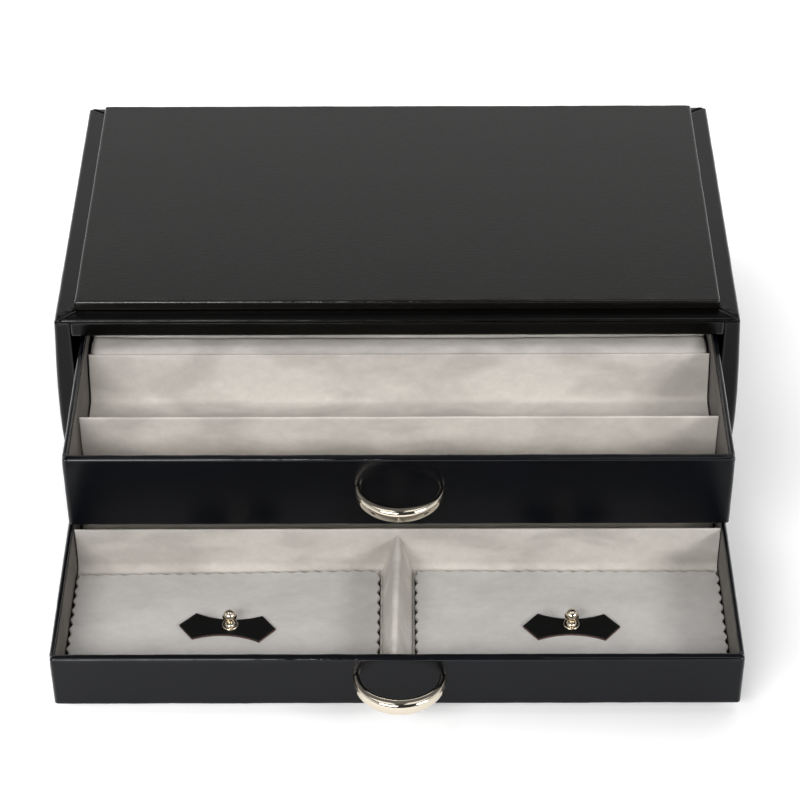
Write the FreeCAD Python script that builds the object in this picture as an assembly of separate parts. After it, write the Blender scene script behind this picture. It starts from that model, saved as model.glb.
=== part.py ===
"""Cufflink box: an open-fronted case with a raised top panel and two inset drawers.

Millimetres. +X is to the right, the drawers open towards -Y and +Z is up. The origin is
on the table, at the middle of the case's footprint. The drawers are drawn part open.
"""
import FreeCAD, Part
import math
import os

from FreeCAD import Vector

os.makedirs("parts", exist_ok=True)

# ---------------------------------------------------------------- driving dimensions
# Case: boards wrapped in smooth leather.
CASE_WIDTH = 256.0
CASE_DEPTH = 142.6
SIDE_WALL = 6.0
BACK_BOARD = 4.5
BASE_BOARD = 3.8
SHELF_BOARD = 4.0
TOP_BOARD = 7.4
EDGE_ROUND = 1.1

# Felt under the case.
FELT_THICKNESS = 0.8
FELT_INSET = 4.0

# Raised panel on the top.
PANEL_THICKNESS = 4.0
PANEL_SIDE_MARGIN = 7.2
PANEL_FRONT_MARGIN = 6.2
PANEL_REAR_MARGIN = 4.4
PANEL_EDGE_ROUND = 0.9

# Drawer boxes. The upper one is a little narrower and stands off the bay's left side.
LOWER_HEIGHT = 22.4
UPPER_HEIGHT = 31.6
DRAWER_SIDE_GAP = 1.9
UPPER_EXTRA_LEFT_GAP = 1.1
DRAWER_UNDER_GAP = 0.4
DRAWER_REAR_GAP = 0.6
LOWER_HEADROOM = 0.8
UPPER_HEADROOM = 1.4
FRONT_WALL = 3.0
UPPER_WALL = 1.9
LOWER_WALL = 1.4
REAR_WALL = 1.9
BOTTOM_BOARD = 2.2
DRAWER_EDGE_ROUND = 0.9
DRAWER_CORNER_ROUND = 1.4
LARGEST_ROUND_SHARE = 0.48

# Length of each drawer that is still inside the case as drawn.
UPPER_LENGTH_HELD = 69.1
LOWER_LENGTH_HELD = 6.6

# Suede-covered card inside the drawers.
LINING = 0.4
FLOOR_LINING = 0.8
LINING_DROP = 1.6
PARTITION = 1.0

# Upper drawer's compartments, counted from the drawer's front face.
UPPER_FRONT_PARTITION_AT = 29.1
UPPER_REAR_PARTITION_AT = 65.4
UPPER_PARTITION_DROP = 5.5
UPPER_REAR_PARTITION_LEAN = 4.8
MIDDLE_RISER_HEIGHT = 4.5
UPPER_INSERT_END_GAP = 0.7

# Lower drawer's compartments, counted from the drawer's front face.
LOWER_PARTITION_AT = 66.2
LOWER_PARTITION_DROP = 0.8
LOWER_INSERT_END_GAP = 0.4
DIVIDER_HALF_BASE = 5.8
DIVIDER_HEIGHT = 15.2
DIVIDER_RIDGE_RADIUS = 1.1
DIVIDER_FLANK_SAG = 0.5

# Cufflink rolls: foam strips side by side, wrapped in suede, on a riser.
UPPER_ROLL_COUNT = 6
LOWER_ROLL_COUNT = 6
ROLL_GAP = 0.3
ROLL_TOP_ROUND = 4.6
UPPER_CROWN_ABOVE_PARTITION = 0.5
LOWER_CROWN_BELOW_PARTITION = 9.4
UPPER_ROLL_HEIGHT = 14.0
LOWER_ROLL_HEIGHT = 9.0
ROLL_END_GAP = 0.2

# Half-ring handles.
HANDLE_HALF_SPAN = 15.0
HANDLE_REACH = 14.2
HANDLE_END_HALF = 1.2
HANDLE_MIDDLE_HALF_THICKNESS = 2.2
HANDLE_MIDDLE_HALF_HEIGHT = 2.65
HANDLE_CORNER_SHARE = 0.7
HANDLE_SECTIONS = 17
HANDLE_OFF_CENTRE = 0.9
UPPER_HANDLE_ABOVE_BOTTOM = 18.0
LOWER_HANDLE_ABOVE_BOTTOM = 13.6

# Screws that hold the handles from inside.
SCREW_SHANK_RADIUS = 0.7
SCREW_HEAD_RADIUS = 1.7
SCREW_HEAD_THICKNESS = 1.0
SCREW_REACH_IN_HANDLE = 2.6
SCREW_CLEARANCE = 0.08

# Cover pads that lie in the lower drawer.
PAD_THICKNESS = 1.4
PAD_REST_GAP = 0.2
PAD_EDGE_GAP = 0.2
PAD_REAR_GAP = 2.0
PAD_DIVIDER_GAP = 0.4
PINK_PITCH = 5.1
PINK_DEPTH = 1.3

# Leather patch on each pad.
PATCH_LENGTH = 34.8
PATCH_END_WIDTH = 12.8
PATCH_WAIST_WIDTH = 7.6
PATCH_POINT_LENGTH = 5.4
PATCH_THICKNESS = 0.9
PATCH_SETBACK = 31.5
LEFT_PATCH_TURN = -3.6
RIGHT_PATCH_TURN = -0.7
LEFT_PATCH_SHIFT = 1.1
RIGHT_PATCH_SHIFT = 0.3
LEFT_STUD_SHIFT = 1.0
RIGHT_STUD_SHIFT = 0.0
STUD_BEHIND_PATCH = 0.8

# Ball stud through each patch, and the screw under the pad that holds it.
STUD_FLANGE_RADIUS = 2.95
STUD_FLANGE_THICKNESS = 0.9
STUD_NECK_RADIUS = 1.15
STUD_NECK_HEIGHT = 2.7
STUD_CUP_RADIUS = 2.65
STUD_CUP_HEIGHT = 1.5
STUD_CUP_BELOW_BALL = 0.9
STUD_BALL_RADIUS = 2.3
PAD_SCREW_SHANK_RADIUS = 0.6
PAD_SCREW_HEAD_RADIUS = 2.6
PAD_SCREW_HEAD_THICKNESS = 0.6
PAD_SCREW_REACH = 2.2

# ---------------------------------------------------------------- worked out from those
CASE_BOTTOM = FELT_THICKNESS
LOWER_BOTTOM = CASE_BOTTOM + BASE_BOARD + DRAWER_UNDER_GAP
LOWER_TOP = LOWER_BOTTOM + LOWER_HEIGHT
SHELF_BOTTOM = LOWER_TOP + LOWER_HEADROOM
SHELF_TOP = SHELF_BOTTOM + SHELF_BOARD
UPPER_BOTTOM = SHELF_TOP + DRAWER_UNDER_GAP
UPPER_TOP = UPPER_BOTTOM + UPPER_HEIGHT
TOP_UNDERSIDE = UPPER_TOP + UPPER_HEADROOM
CASE_TOP = TOP_UNDERSIDE + TOP_BOARD

CASE_HALF = CASE_WIDTH / 2
BAY_HALF = CASE_HALF - SIDE_WALL
CASE_FRONT = -CASE_DEPTH / 2
CASE_REAR = CASE_DEPTH / 2
BAY_REAR = CASE_REAR - BACK_BOARD

DRAWER_HALF = BAY_HALF - DRAWER_SIDE_GAP
DRAWER_LENGTH = BAY_REAR - DRAWER_REAR_GAP - CASE_FRONT
LOWER_LINED_HALF = DRAWER_HALF - LOWER_WALL - LINING
DRAWER_REAR_INSIDE = DRAWER_LENGTH - REAR_WALL
LINED_FRONT = FRONT_WALL + LINING
UPPER_FACE = CASE_FRONT - (DRAWER_LENGTH - UPPER_LENGTH_HELD)
LOWER_FACE = CASE_FRONT - (DRAWER_LENGTH - LOWER_LENGTH_HELD)


DRAWER_REAR_ROUND = min(DRAWER_EDGE_ROUND, LARGEST_ROUND_SHARE * REAR_WALL)
DRAWER_FRONT_ROUND = min(DRAWER_EDGE_ROUND, LARGEST_ROUND_SHARE * FRONT_WALL)
SCREW_BORE_RADIUS = SCREW_SHANK_RADIUS + SCREW_CLEARANCE
SCREW_SINK_RADIUS = SCREW_HEAD_RADIUS + SCREW_CLEARANCE
PAD_BORE_RADIUS = PAD_SCREW_SHANK_RADIUS + SCREW_CLEARANCE
PAD_SINK_RADIUS = PAD_SCREW_HEAD_RADIUS + SCREW_CLEARANCE

# Two coordinates closer than this are the same place.
SAME_PLACE = 0.000001


# ---------------------------------------------------------------- shape helpers
def block(x_low, x_high, y_low, y_high, z_low, z_high):
    """Box between two corners."""
    corner = Vector(x_low, y_low, z_low)
    return Part.makeBox(x_high - x_low, y_high - y_low, z_high - z_low, corner)


def edge_is_at(edge, x=None, y=None, z=None):
    """True where every point of a straight edge has the given coordinates."""
    for vertex in edge.Vertexes:
        point = vertex.Point
        for wanted, found in ((x, point.x), (y, point.y), (z, point.z)):
            if wanted is not None and abs(wanted - found) > SAME_PLACE:
                return False
    return True


def round_edges(shape, radius, places):
    """Round the edges that lie at any of the given places."""
    picked = [edge for edge in shape.Edges if any(edge_is_at(edge, **place) for place in places)]
    return shape.makeFillet(radius, picked)


def cylinder_along_y(radius, x, z, y_low, y_high):
    """Round bar along Y."""
    return Part.makeCylinder(radius, y_high - y_low, Vector(x, y_low, z), Vector(0, 1, 0))


def cylinder_along_z(radius, x, y, z_low, z_high):
    """Round bar along Z."""
    return Part.makeCylinder(radius, z_high - z_low, Vector(x, y, z_low), Vector(0, 0, 1))


def flat_face(points):
    """Face inside a closed run of points."""
    return Part.Face(Part.makePolygon(points + [points[0]]))


def save(name, shape):
    """Write one node."""
    shape.exportStep("parts/" + name + ".step")


# ---------------------------------------------------------------- case
def base_felt():
    """Felt sheet that the box stands on."""
    inset = FELT_INSET
    return block(-CASE_HALF + inset, CASE_HALF - inset, CASE_FRONT + inset, CASE_REAR - inset,
                 0, FELT_THICKNESS)


def base_board():
    """Board under the lower drawer, between the side walls."""
    board = block(-BAY_HALF, BAY_HALF, CASE_FRONT, BAY_REAR, CASE_BOTTOM, CASE_BOTTOM + BASE_BOARD)
    return round_edges(board, EDGE_ROUND, [{"y": CASE_FRONT, "z": CASE_BOTTOM + BASE_BOARD}])


def side_wall(side):
    """Full-height side wall. side is -1 for the left and 1 for the right."""
    outer = side * CASE_HALF
    inner = side * BAY_HALF
    wall = block(min(outer, inner), max(outer, inner), CASE_FRONT, CASE_REAR, CASE_BOTTOM, CASE_TOP)
    places = [{"x": outer, "y": CASE_FRONT}, {"x": outer, "y": CASE_REAR},
              {"x": outer, "z": CASE_TOP}, {"y": CASE_FRONT, "z": CASE_TOP},
              {"y": CASE_REAR, "z": CASE_TOP}]
    return round_edges(wall, EDGE_ROUND, places)


def back_board():
    """Board that closes the back, between the side walls and under the top board."""
    return block(-BAY_HALF, BAY_HALF, BAY_REAR, CASE_REAR, CASE_BOTTOM, TOP_UNDERSIDE)


def drawer_shelf():
    """Shelf between the two drawers."""
    shelf = block(-BAY_HALF, BAY_HALF, CASE_FRONT, BAY_REAR, SHELF_BOTTOM, SHELF_TOP)
    places = [{"y": CASE_FRONT, "z": SHELF_TOP}, {"y": CASE_FRONT, "z": SHELF_BOTTOM}]
    return round_edges(shelf, EDGE_ROUND, places)


def top_board():
    """Board over the upper drawer, between the side walls."""
    board = block(-BAY_HALF, BAY_HALF, CASE_FRONT, CASE_REAR, TOP_UNDERSIDE, CASE_TOP)
    places = [{"y": CASE_FRONT, "z": CASE_TOP}, {"y": CASE_FRONT, "z": TOP_UNDERSIDE},
              {"y": CASE_REAR, "z": CASE_TOP}]
    return round_edges(board, EDGE_ROUND, places)


def top_panel():
    """Raised panel glued on the top, inset from the rim on all four sides."""
    half = CASE_HALF - PANEL_SIDE_MARGIN
    front = CASE_FRONT + PANEL_FRONT_MARGIN
    rear = CASE_REAR - PANEL_REAR_MARGIN
    top = CASE_TOP + PANEL_THICKNESS
    panel = block(-half, half, front, rear, CASE_TOP, top)
    places = [{"z": top}, {"x": -half, "y": front}, {"x": half, "y": front},
              {"x": -half, "y": rear}, {"x": half, "y": rear}]
    return round_edges(panel, PANEL_EDGE_ROUND, places)


# ---------------------------------------------------------------- drawer boxes
def inset_sides(sides, inset):
    """Left and right places moved towards each other."""
    return (sides[0] + inset, sides[1] - inset)


def front_wall(sides, face, bottom, top, handle_height):
    """Drawer front as wide as its box, with counterbored holes for the handle's screws."""
    wall = block(sides[0], sides[1], face, face + FRONT_WALL, bottom, top)
    corners = [{"x": sides[0], "y": face}, {"x": sides[1], "y": face}]
    wall = round_edges(wall, DRAWER_CORNER_ROUND, corners)
    wall = round_edges(wall, DRAWER_FRONT_ROUND, [{"z": top}])
    inside = face + FRONT_WALL
    sink_start = inside - SCREW_HEAD_THICKNESS - SCREW_CLEARANCE
    for x in handle_ends():
        wall = wall.cut(cylinder_along_y(SCREW_BORE_RADIUS, x, handle_height, face, inside))
        wall = wall.cut(cylinder_along_y(SCREW_SINK_RADIUS, x, handle_height, sink_start, inside))
    return wall


def drawer_side(outer, inner, face, bottom, top):
    """Side wall behind the front, with a rounded top."""
    front = face + FRONT_WALL
    wall = block(min(outer, inner), max(outer, inner), front, face + DRAWER_LENGTH, bottom, top)
    radius = min(DRAWER_EDGE_ROUND, LARGEST_ROUND_SHARE * abs(outer - inner))
    return round_edges(wall, radius, [{"x": outer, "z": top}, {"x": inner, "z": top}])


def drawer_rear(inside_sides, face, bottom, top):
    """Rear wall between the side walls, with a rounded top."""
    inside = face + DRAWER_REAR_INSIDE
    rear = face + DRAWER_LENGTH
    wall = block(inside_sides[0], inside_sides[1], inside, rear, bottom, top)
    return round_edges(wall, DRAWER_REAR_ROUND, [{"y": inside, "z": top}, {"y": rear, "z": top}])


def drawer_bottom(inside_sides, face, bottom):
    """Bottom board inside the four walls."""
    front = face + FRONT_WALL
    rear = face + DRAWER_REAR_INSIDE
    top = bottom + BOTTOM_BOARD
    return block(inside_sides[0], inside_sides[1], front, rear, bottom, top)


def side_lining(outer, inner, face, bottom, top):
    """Suede-covered card against a side wall."""
    return block(min(outer, inner), max(outer, inner), face + FRONT_WALL, face + DRAWER_REAR_INSIDE,
                 bottom + BOTTOM_BOARD, top - LINING_DROP)


def front_lining(lined, face, bottom, top):
    """Suede-covered card behind the front wall, between the side linings."""
    return block(lined[0], lined[1], face + FRONT_WALL, face + LINED_FRONT,
                 bottom + BOTTOM_BOARD, top - LINING_DROP)


def floor_lining(lined, face, start, end, bottom):
    """Suede-covered card on the bottom board, from start to end behind the front face."""
    low = bottom + BOTTOM_BOARD
    return block(lined[0], lined[1], face + start, face + end, low, low + FLOOR_LINING)


def partition(ends, face, at, bottom, top, lean=0.0):
    """Suede-covered card across the drawer. Its foot reaches lean further forward than its top."""
    front, rear = face + at, face + at + PARTITION
    corners = [(front - lean, bottom), (rear, bottom), (rear, top), (front, top)]
    outline = flat_face([Vector(ends[0], y, z) for y, z in corners])
    return outline.extrude(Vector(ends[1] - ends[0], 0, 0))


# ---------------------------------------------------------------- cufflink rolls
def cufflink_roll(ends, low, high, bottom, top):
    """One foam strip with a rounded crown."""
    roll = block(ends[0] + ROLL_END_GAP, ends[1] - ROLL_END_GAP, low, high, bottom, top)
    crown_round = min(ROLL_TOP_ROUND, LARGEST_ROUND_SHARE * (high - low))
    return round_edges(roll, crown_round, [{"y": low, "z": top}, {"y": high, "z": top}])


def save_rolls(prefix, ends, face, start, count, floor, roll_height, crown):
    """Riser and rolls from behind the last partition to the drawer's rear wall."""
    rear = face + DRAWER_REAR_INSIDE
    roll_bottom = crown - roll_height
    left = ends[0] + ROLL_END_GAP
    right = ends[1] - ROLL_END_GAP
    riser = block(left, right, face + start, rear, floor, roll_bottom)
    save(prefix + "_roll_riser", riser)
    pitch = (DRAWER_REAR_INSIDE - start) / count
    for index in range(count):
        low = face + start + index * pitch + ROLL_GAP / 2
        roll = cufflink_roll(ends, low, low + pitch - ROLL_GAP, roll_bottom, crown)
        save(prefix + "_cufflink_roll_" + str(index + 1), roll)


# ---------------------------------------------------------------- handles
def handle_ends():
    """Places across the front where the bow's left and right ends stand."""
    return (HANDLE_OFF_CENTRE - HANDLE_HALF_SPAN, HANDLE_OFF_CENTRE + HANDLE_HALF_SPAN)


def rounded_rectangle(half_x, half_z, radius):
    """Wire of a rectangle across Y with rounded corners, centred on the origin."""
    slant = radius * math.sqrt(0.5)
    edges = []
    for x_side, z_side in ((1, 1), (-1, 1), (-1, -1), (1, -1)):
        x, z = x_side * (half_x - radius), z_side * (half_z - radius)
        on_side = Vector(x + x_side * radius, 0, z)
        between = Vector(x + x_side * slant, 0, z + z_side * slant)
        on_top = Vector(x, 0, z + z_side * radius)
        ends = (on_side, on_top) if x_side * z_side > 0 else (on_top, on_side)
        edges.append((ends[0], between, ends[1]))
    wire = []
    for index, (start, between, end) in enumerate(edges):
        wire.append(Part.Arc(start, between, end).toShape())
        wire.append(Part.makeLine(end, edges[(index + 1) % len(edges)][0]))
    return Part.Wire(wire)


def handle_section(share):
    """Section of the bow, at a share of the half turn from the right end to the left."""
    turn = math.pi * share
    half_thickness = HANDLE_END_HALF + (HANDLE_MIDDLE_HALF_THICKNESS - HANDLE_END_HALF) * math.sin(turn)
    half_height = HANDLE_END_HALF + (HANDLE_MIDDLE_HALF_HEIGHT - HANDLE_END_HALF) * math.sin(turn)
    ring = rounded_rectangle(half_thickness, half_height, HANDLE_CORNER_SHARE * half_thickness)
    along = math.atan2(-HANDLE_HALF_SPAN * math.sin(turn), HANDLE_REACH * math.cos(turn))
    ring.rotate(Vector(0, 0, 0), Vector(0, 0, 1), math.degrees(along))
    x = HANDLE_OFF_CENTRE + HANDLE_HALF_SPAN * math.cos(turn)
    ring.translate(Vector(x, -HANDLE_REACH * math.sin(turn), 0))
    return ring


def half_ring(face, height):
    """Bow that stands out from the front face, slimmer at its ends, with a blind hole in each."""
    last = HANDLE_SECTIONS - 1
    bow = Part.makeLoft([handle_section(index / last) for index in range(HANDLE_SECTIONS)], True)
    bow.translate(Vector(0, face, height))
    hole_end = face - SCREW_REACH_IN_HANDLE - SCREW_CLEARANCE
    for x in handle_ends():
        bow = bow.cut(cylinder_along_y(SCREW_BORE_RADIUS, x, height, hole_end, face))
    return bow


def handle_screws(face, height):
    """Pair of screws from inside the front wall into the handle's ends."""
    screws = []
    head_end = face + FRONT_WALL
    head_start = head_end - SCREW_HEAD_THICKNESS
    tip = face - SCREW_REACH_IN_HANDLE
    for x in handle_ends():
        shank = cylinder_along_y(SCREW_SHANK_RADIUS, x, height, tip, head_start)
        head = cylinder_along_y(SCREW_HEAD_RADIUS, x, height, head_start, head_end)
        screws.append(shank.fuse(head).removeSplitter())
    return Part.makeCompound(screws)


# ---------------------------------------------------------------- drawers
def save_drawer_box(prefix, sides, side_thickness, face, bottom, top, handle_above_bottom):
    """Walls, bottom, side and front linings, handle and screws of one drawer."""
    handle_height = bottom + handle_above_bottom
    inside = inset_sides(sides, side_thickness)
    lined = inset_sides(inside, LINING)
    save(prefix + "_front_wall", front_wall(sides, face, bottom, top, handle_height))
    save(prefix + "_left_wall", drawer_side(sides[0], inside[0], face, bottom, top))
    save(prefix + "_right_wall", drawer_side(sides[1], inside[1], face, bottom, top))
    save(prefix + "_rear_wall", drawer_rear(inside, face, bottom, top))
    save(prefix + "_bottom_board", drawer_bottom(inside, face, bottom))
    save(prefix + "_left_lining", side_lining(inside[0], lined[0], face, bottom, top))
    save(prefix + "_right_lining", side_lining(inside[1], lined[1], face, bottom, top))
    save(prefix + "_front_lining", front_lining(lined, face, bottom, top))
    save(prefix + "_handle", half_ring(face, handle_height))
    save(prefix + "_handle_screws", handle_screws(face, handle_height))


def save_upper_drawer():
    """Upper drawer: two long compartments in front of the rolls."""
    face = UPPER_FACE
    sides = (UPPER_EXTRA_LEFT_GAP - DRAWER_HALF, DRAWER_HALF)
    save_drawer_box("upper", sides, UPPER_WALL, face, UPPER_BOTTOM, UPPER_TOP,
                    UPPER_HANDLE_ABOVE_BOTTOM)
    lined = inset_sides(sides, UPPER_WALL + LINING)
    ends = inset_sides(lined, UPPER_INSERT_END_GAP)
    board_top = UPPER_BOTTOM + BOTTOM_BOARD
    floor = board_top + FLOOR_LINING
    partition_top = UPPER_TOP - UPPER_PARTITION_DROP
    front_at = UPPER_FRONT_PARTITION_AT
    rear_at = UPPER_REAR_PARTITION_AT
    rolls_at = rear_at + PARTITION
    middle_at = front_at + PARTITION
    riser_top = board_top + MIDDLE_RISER_HEIGHT
    middle_floor = riser_top + FLOOR_LINING
    save("upper_front_floor_lining", floor_lining(lined, face, LINED_FRONT, middle_at,
                                                  UPPER_BOTTOM))
    save("upper_front_partition", partition(ends, face, front_at, floor, partition_top))
    save("upper_middle_riser", block(ends[0], ends[1], face + middle_at, face + rolls_at,
                                     board_top, riser_top))
    save("upper_middle_floor_lining", block(ends[0], ends[1], face + middle_at, face + rolls_at,
                                            riser_top, middle_floor))
    save("upper_rear_partition", partition(ends, face, rear_at, middle_floor, partition_top,
                                           UPPER_REAR_PARTITION_LEAN))
    crown = partition_top + UPPER_CROWN_ABOVE_PARTITION
    save_rolls("upper", ends, face, rolls_at, UPPER_ROLL_COUNT, board_top, UPPER_ROLL_HEIGHT, crown)


def centre_divider(face, floor):
    """Covered ridge between the two compartments, wide at the floor and narrow at the top."""
    ridge = DIVIDER_RIDGE_RADIUS
    shoulder = floor + DIVIDER_HEIGHT - ridge
    start = face + LINED_FRONT
    left_foot = Vector(-DIVIDER_HALF_BASE, start, floor)
    right_foot = Vector(DIVIDER_HALF_BASE, start, floor)
    left_shoulder = Vector(-ridge, start, shoulder)
    right_shoulder = Vector(ridge, start, shoulder)
    crest = Vector(0, start, floor + DIVIDER_HEIGHT)
    middle = (shoulder + floor) / 2
    flank_x = (DIVIDER_HALF_BASE + ridge) / 2 - DIVIDER_FLANK_SAG
    edges = [Part.makeLine(left_foot, right_foot),
             Part.Arc(right_foot, Vector(flank_x, start, middle), right_shoulder).toShape(),
             Part.Arc(right_shoulder, crest, left_shoulder).toShape(),
             Part.Arc(left_shoulder, Vector(-flank_x, start, middle), left_foot).toShape()]
    outline = Part.Face(Part.Wire(edges))
    return outline.extrude(Vector(0, LOWER_PARTITION_AT - LINED_FRONT, 0))


def save_lower_drawer():
    """Lower drawer: two compartments with cover pads, in front of the rolls."""
    face = LOWER_FACE
    sides = (-DRAWER_HALF, DRAWER_HALF)
    save_drawer_box("lower", sides, LOWER_WALL, face, LOWER_BOTTOM, LOWER_TOP,
                    LOWER_HANDLE_ABOVE_BOTTOM)
    lined = (-LOWER_LINED_HALF, LOWER_LINED_HALF)
    ends = inset_sides(lined, LOWER_INSERT_END_GAP)
    board_top = LOWER_BOTTOM + BOTTOM_BOARD
    floor = board_top + FLOOR_LINING
    partition_top = LOWER_TOP - LOWER_PARTITION_DROP
    rolls_at = LOWER_PARTITION_AT + PARTITION
    save("lower_floor_lining", floor_lining(lined, face, LINED_FRONT, rolls_at, LOWER_BOTTOM))
    save("lower_cross_partition", partition(ends, face, LOWER_PARTITION_AT, floor, partition_top))
    save("lower_centre_divider", centre_divider(face, floor))
    crown = partition_top - LOWER_CROWN_BELOW_PARTITION
    save_rolls("lower", ends, face, rolls_at, LOWER_ROLL_COUNT, board_top, LOWER_ROLL_HEIGHT, crown)
    pad_bottom = floor + PAD_REST_GAP
    save_cover_pad("left", -1, face, pad_bottom)
    save_cover_pad("right", 1, face, pad_bottom)


# ---------------------------------------------------------------- cover pads
def pinked_side(start, end, inward):
    """Zigzag points from one corner towards the next, notched towards the pad's middle."""
    run = end - start
    teeth = max(1, round(run.Length / PINK_PITCH))
    points = []
    for tooth in range(teeth):
        points.append(start + run * (tooth / teeth))
        notch = (2 * tooth + 1) / (2 * teeth)
        points.append(start + run * notch + inward * PINK_DEPTH)
    return points


def pad_sheet(x_low, x_high, y_low, y_high, bottom):
    """Flat pad whose four edges are cut in a zigzag."""
    corners = [Vector(x_low, y_low, bottom), Vector(x_high, y_low, bottom),
               Vector(x_high, y_high, bottom), Vector(x_low, y_high, bottom)]
    inward = [Vector(0, 1, 0), Vector(-1, 0, 0), Vector(0, -1, 0), Vector(1, 0, 0)]
    points = []
    for index, corner in enumerate(corners):
        points += pinked_side(corner, corners[(index + 1) % len(corners)], inward[index])
    return flat_face(points).extrude(Vector(0, 0, PAD_THICKNESS))


def leather_patch(x, y, bottom, turn, hole_x, hole_y):
    """Patch with pointed ends and hollow long sides, turned a little about its middle."""
    half_length = PATCH_LENGTH / 2
    shoulder = half_length - PATCH_POINT_LENGTH
    half_end = PATCH_END_WIDTH / 2
    half_waist = PATCH_WAIST_WIDTH / 2
    left_tip = Vector(x - half_length, y, bottom)
    right_tip = Vector(x + half_length, y, bottom)
    top_left = Vector(x - shoulder, y + half_end, bottom)
    top_right = Vector(x + shoulder, y + half_end, bottom)
    low_left = Vector(x - shoulder, y - half_end, bottom)
    low_right = Vector(x + shoulder, y - half_end, bottom)
    edges = [Part.makeLine(left_tip, top_left),
             Part.Arc(top_left, Vector(x, y + half_waist, bottom), top_right).toShape(),
             Part.makeLine(top_right, right_tip),
             Part.makeLine(right_tip, low_right),
             Part.Arc(low_right, Vector(x, y - half_waist, bottom), low_left).toShape(),
             Part.makeLine(low_left, left_tip)]
    patch = Part.Face(Part.Wire(edges)).extrude(Vector(0, 0, PATCH_THICKNESS))
    patch.rotate(Vector(x, y, bottom), Vector(0, 0, 1), turn)
    bore = cylinder_along_z(PAD_BORE_RADIUS, hole_x, hole_y, bottom, bottom + PATCH_THICKNESS)
    return patch.cut(bore)


def ball_stud(x, y, bottom):
    """Ball in a flared cup on a neck and flange, with a blind hole from below."""
    flange_top = bottom + STUD_FLANGE_THICKNESS
    neck_top = flange_top + STUD_NECK_HEIGHT
    ball_centre = neck_top + STUD_BALL_RADIUS / 2
    flange = cylinder_along_z(STUD_FLANGE_RADIUS, x, y, bottom, flange_top)
    rim = [edge for edge in flange.Edges if edge_is_at(edge, z=flange_top)]
    flange = flange.makeFillet(STUD_FLANGE_THICKNESS / 2, rim)
    neck = cylinder_along_z(STUD_NECK_RADIUS, x, y, flange_top, ball_centre)
    cup_top = ball_centre - STUD_CUP_BELOW_BALL
    cup_foot = Vector(x, y, cup_top - STUD_CUP_HEIGHT)
    cup = Part.makeCone(STUD_NECK_RADIUS, STUD_CUP_RADIUS, STUD_CUP_HEIGHT, cup_foot)
    ball = Part.makeSphere(STUD_BALL_RADIUS, Vector(x, y, ball_centre))
    stud = flange.fuse(neck).fuse(cup).fuse(ball).removeSplitter()
    hole_end = bottom + PAD_SCREW_REACH + SCREW_CLEARANCE
    return stud.cut(cylinder_along_z(PAD_BORE_RADIUS, x, y, bottom, hole_end))


def pad_screw(x, y, bottom, stud_bottom):
    """Flat-headed screw from under the pad into the stud."""
    head_top = bottom + PAD_SCREW_HEAD_THICKNESS
    head = cylinder_along_z(PAD_SCREW_HEAD_RADIUS, x, y, bottom, head_top)
    shank = cylinder_along_z(PAD_SCREW_SHANK_RADIUS, x, y, head_top, stud_bottom + PAD_SCREW_REACH)
    return head.fuse(shank).removeSplitter()


def save_cover_pad(name, side, face, bottom):
    """Pad, patch, ball stud and screw on one side of the divider."""
    patch_shift = LEFT_PATCH_SHIFT if side < 0 else RIGHT_PATCH_SHIFT
    patch_turn = LEFT_PATCH_TURN if side < 0 else RIGHT_PATCH_TURN
    stud_shift = LEFT_STUD_SHIFT if side < 0 else RIGHT_STUD_SHIFT
    near = side * (DIVIDER_HALF_BASE + PAD_DIVIDER_GAP)
    far = side * (LOWER_LINED_HALF - PAD_EDGE_GAP)
    y_low = face + LINED_FRONT + PAD_EDGE_GAP
    y_high = face + LOWER_PARTITION_AT - PAD_REAR_GAP
    patch_x = (near + far) / 2 + patch_shift
    stud_x = patch_x + stud_shift
    patch_y = y_high - PATCH_SETBACK
    stud_y = patch_y + STUD_BEHIND_PATCH
    top = bottom + PAD_THICKNESS
    stud_bottom = top + PATCH_THICKNESS
    sink_top = bottom + PAD_SCREW_HEAD_THICKNESS + SCREW_CLEARANCE
    pad = pad_sheet(min(near, far), max(near, far), y_low, y_high, bottom)
    pad = pad.cut(cylinder_along_z(PAD_BORE_RADIUS, stud_x, stud_y, bottom, top))
    pad = pad.cut(cylinder_along_z(PAD_SINK_RADIUS, stud_x, stud_y, bottom, sink_top))
    save(name + "_cover_pad", pad)
    save(name + "_pad_patch", leather_patch(patch_x, patch_y, top, patch_turn, stud_x, stud_y))
    save(name + "_pad_stud", ball_stud(stud_x, stud_y, stud_bottom))
    save(name + "_pad_screw", pad_screw(stud_x, stud_y, bottom, stud_bottom))


# ---------------------------------------------------------------- write every node
save("base_felt", base_felt())
save("case_base_board", base_board())
save("case_left_wall", side_wall(-1))
save("case_right_wall", side_wall(1))
save("case_back_board", back_board())
save("case_drawer_shelf", drawer_shelf())
save("case_top_board", top_board())
save("top_panel", top_panel())
save_upper_drawer()
save_lower_drawer()
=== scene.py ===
"""Cufflink box with two drawers: leather over board, suede linings, polished ring pulls.

Shapes are worked out in millimetres in the solids' own frame and turned to metres when a
mesh is made. +X is to the right, the drawers open towards -Y and +Z is up.
"""
import math

import bpy
from mathutils import Matrix, Vector, noise


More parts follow.
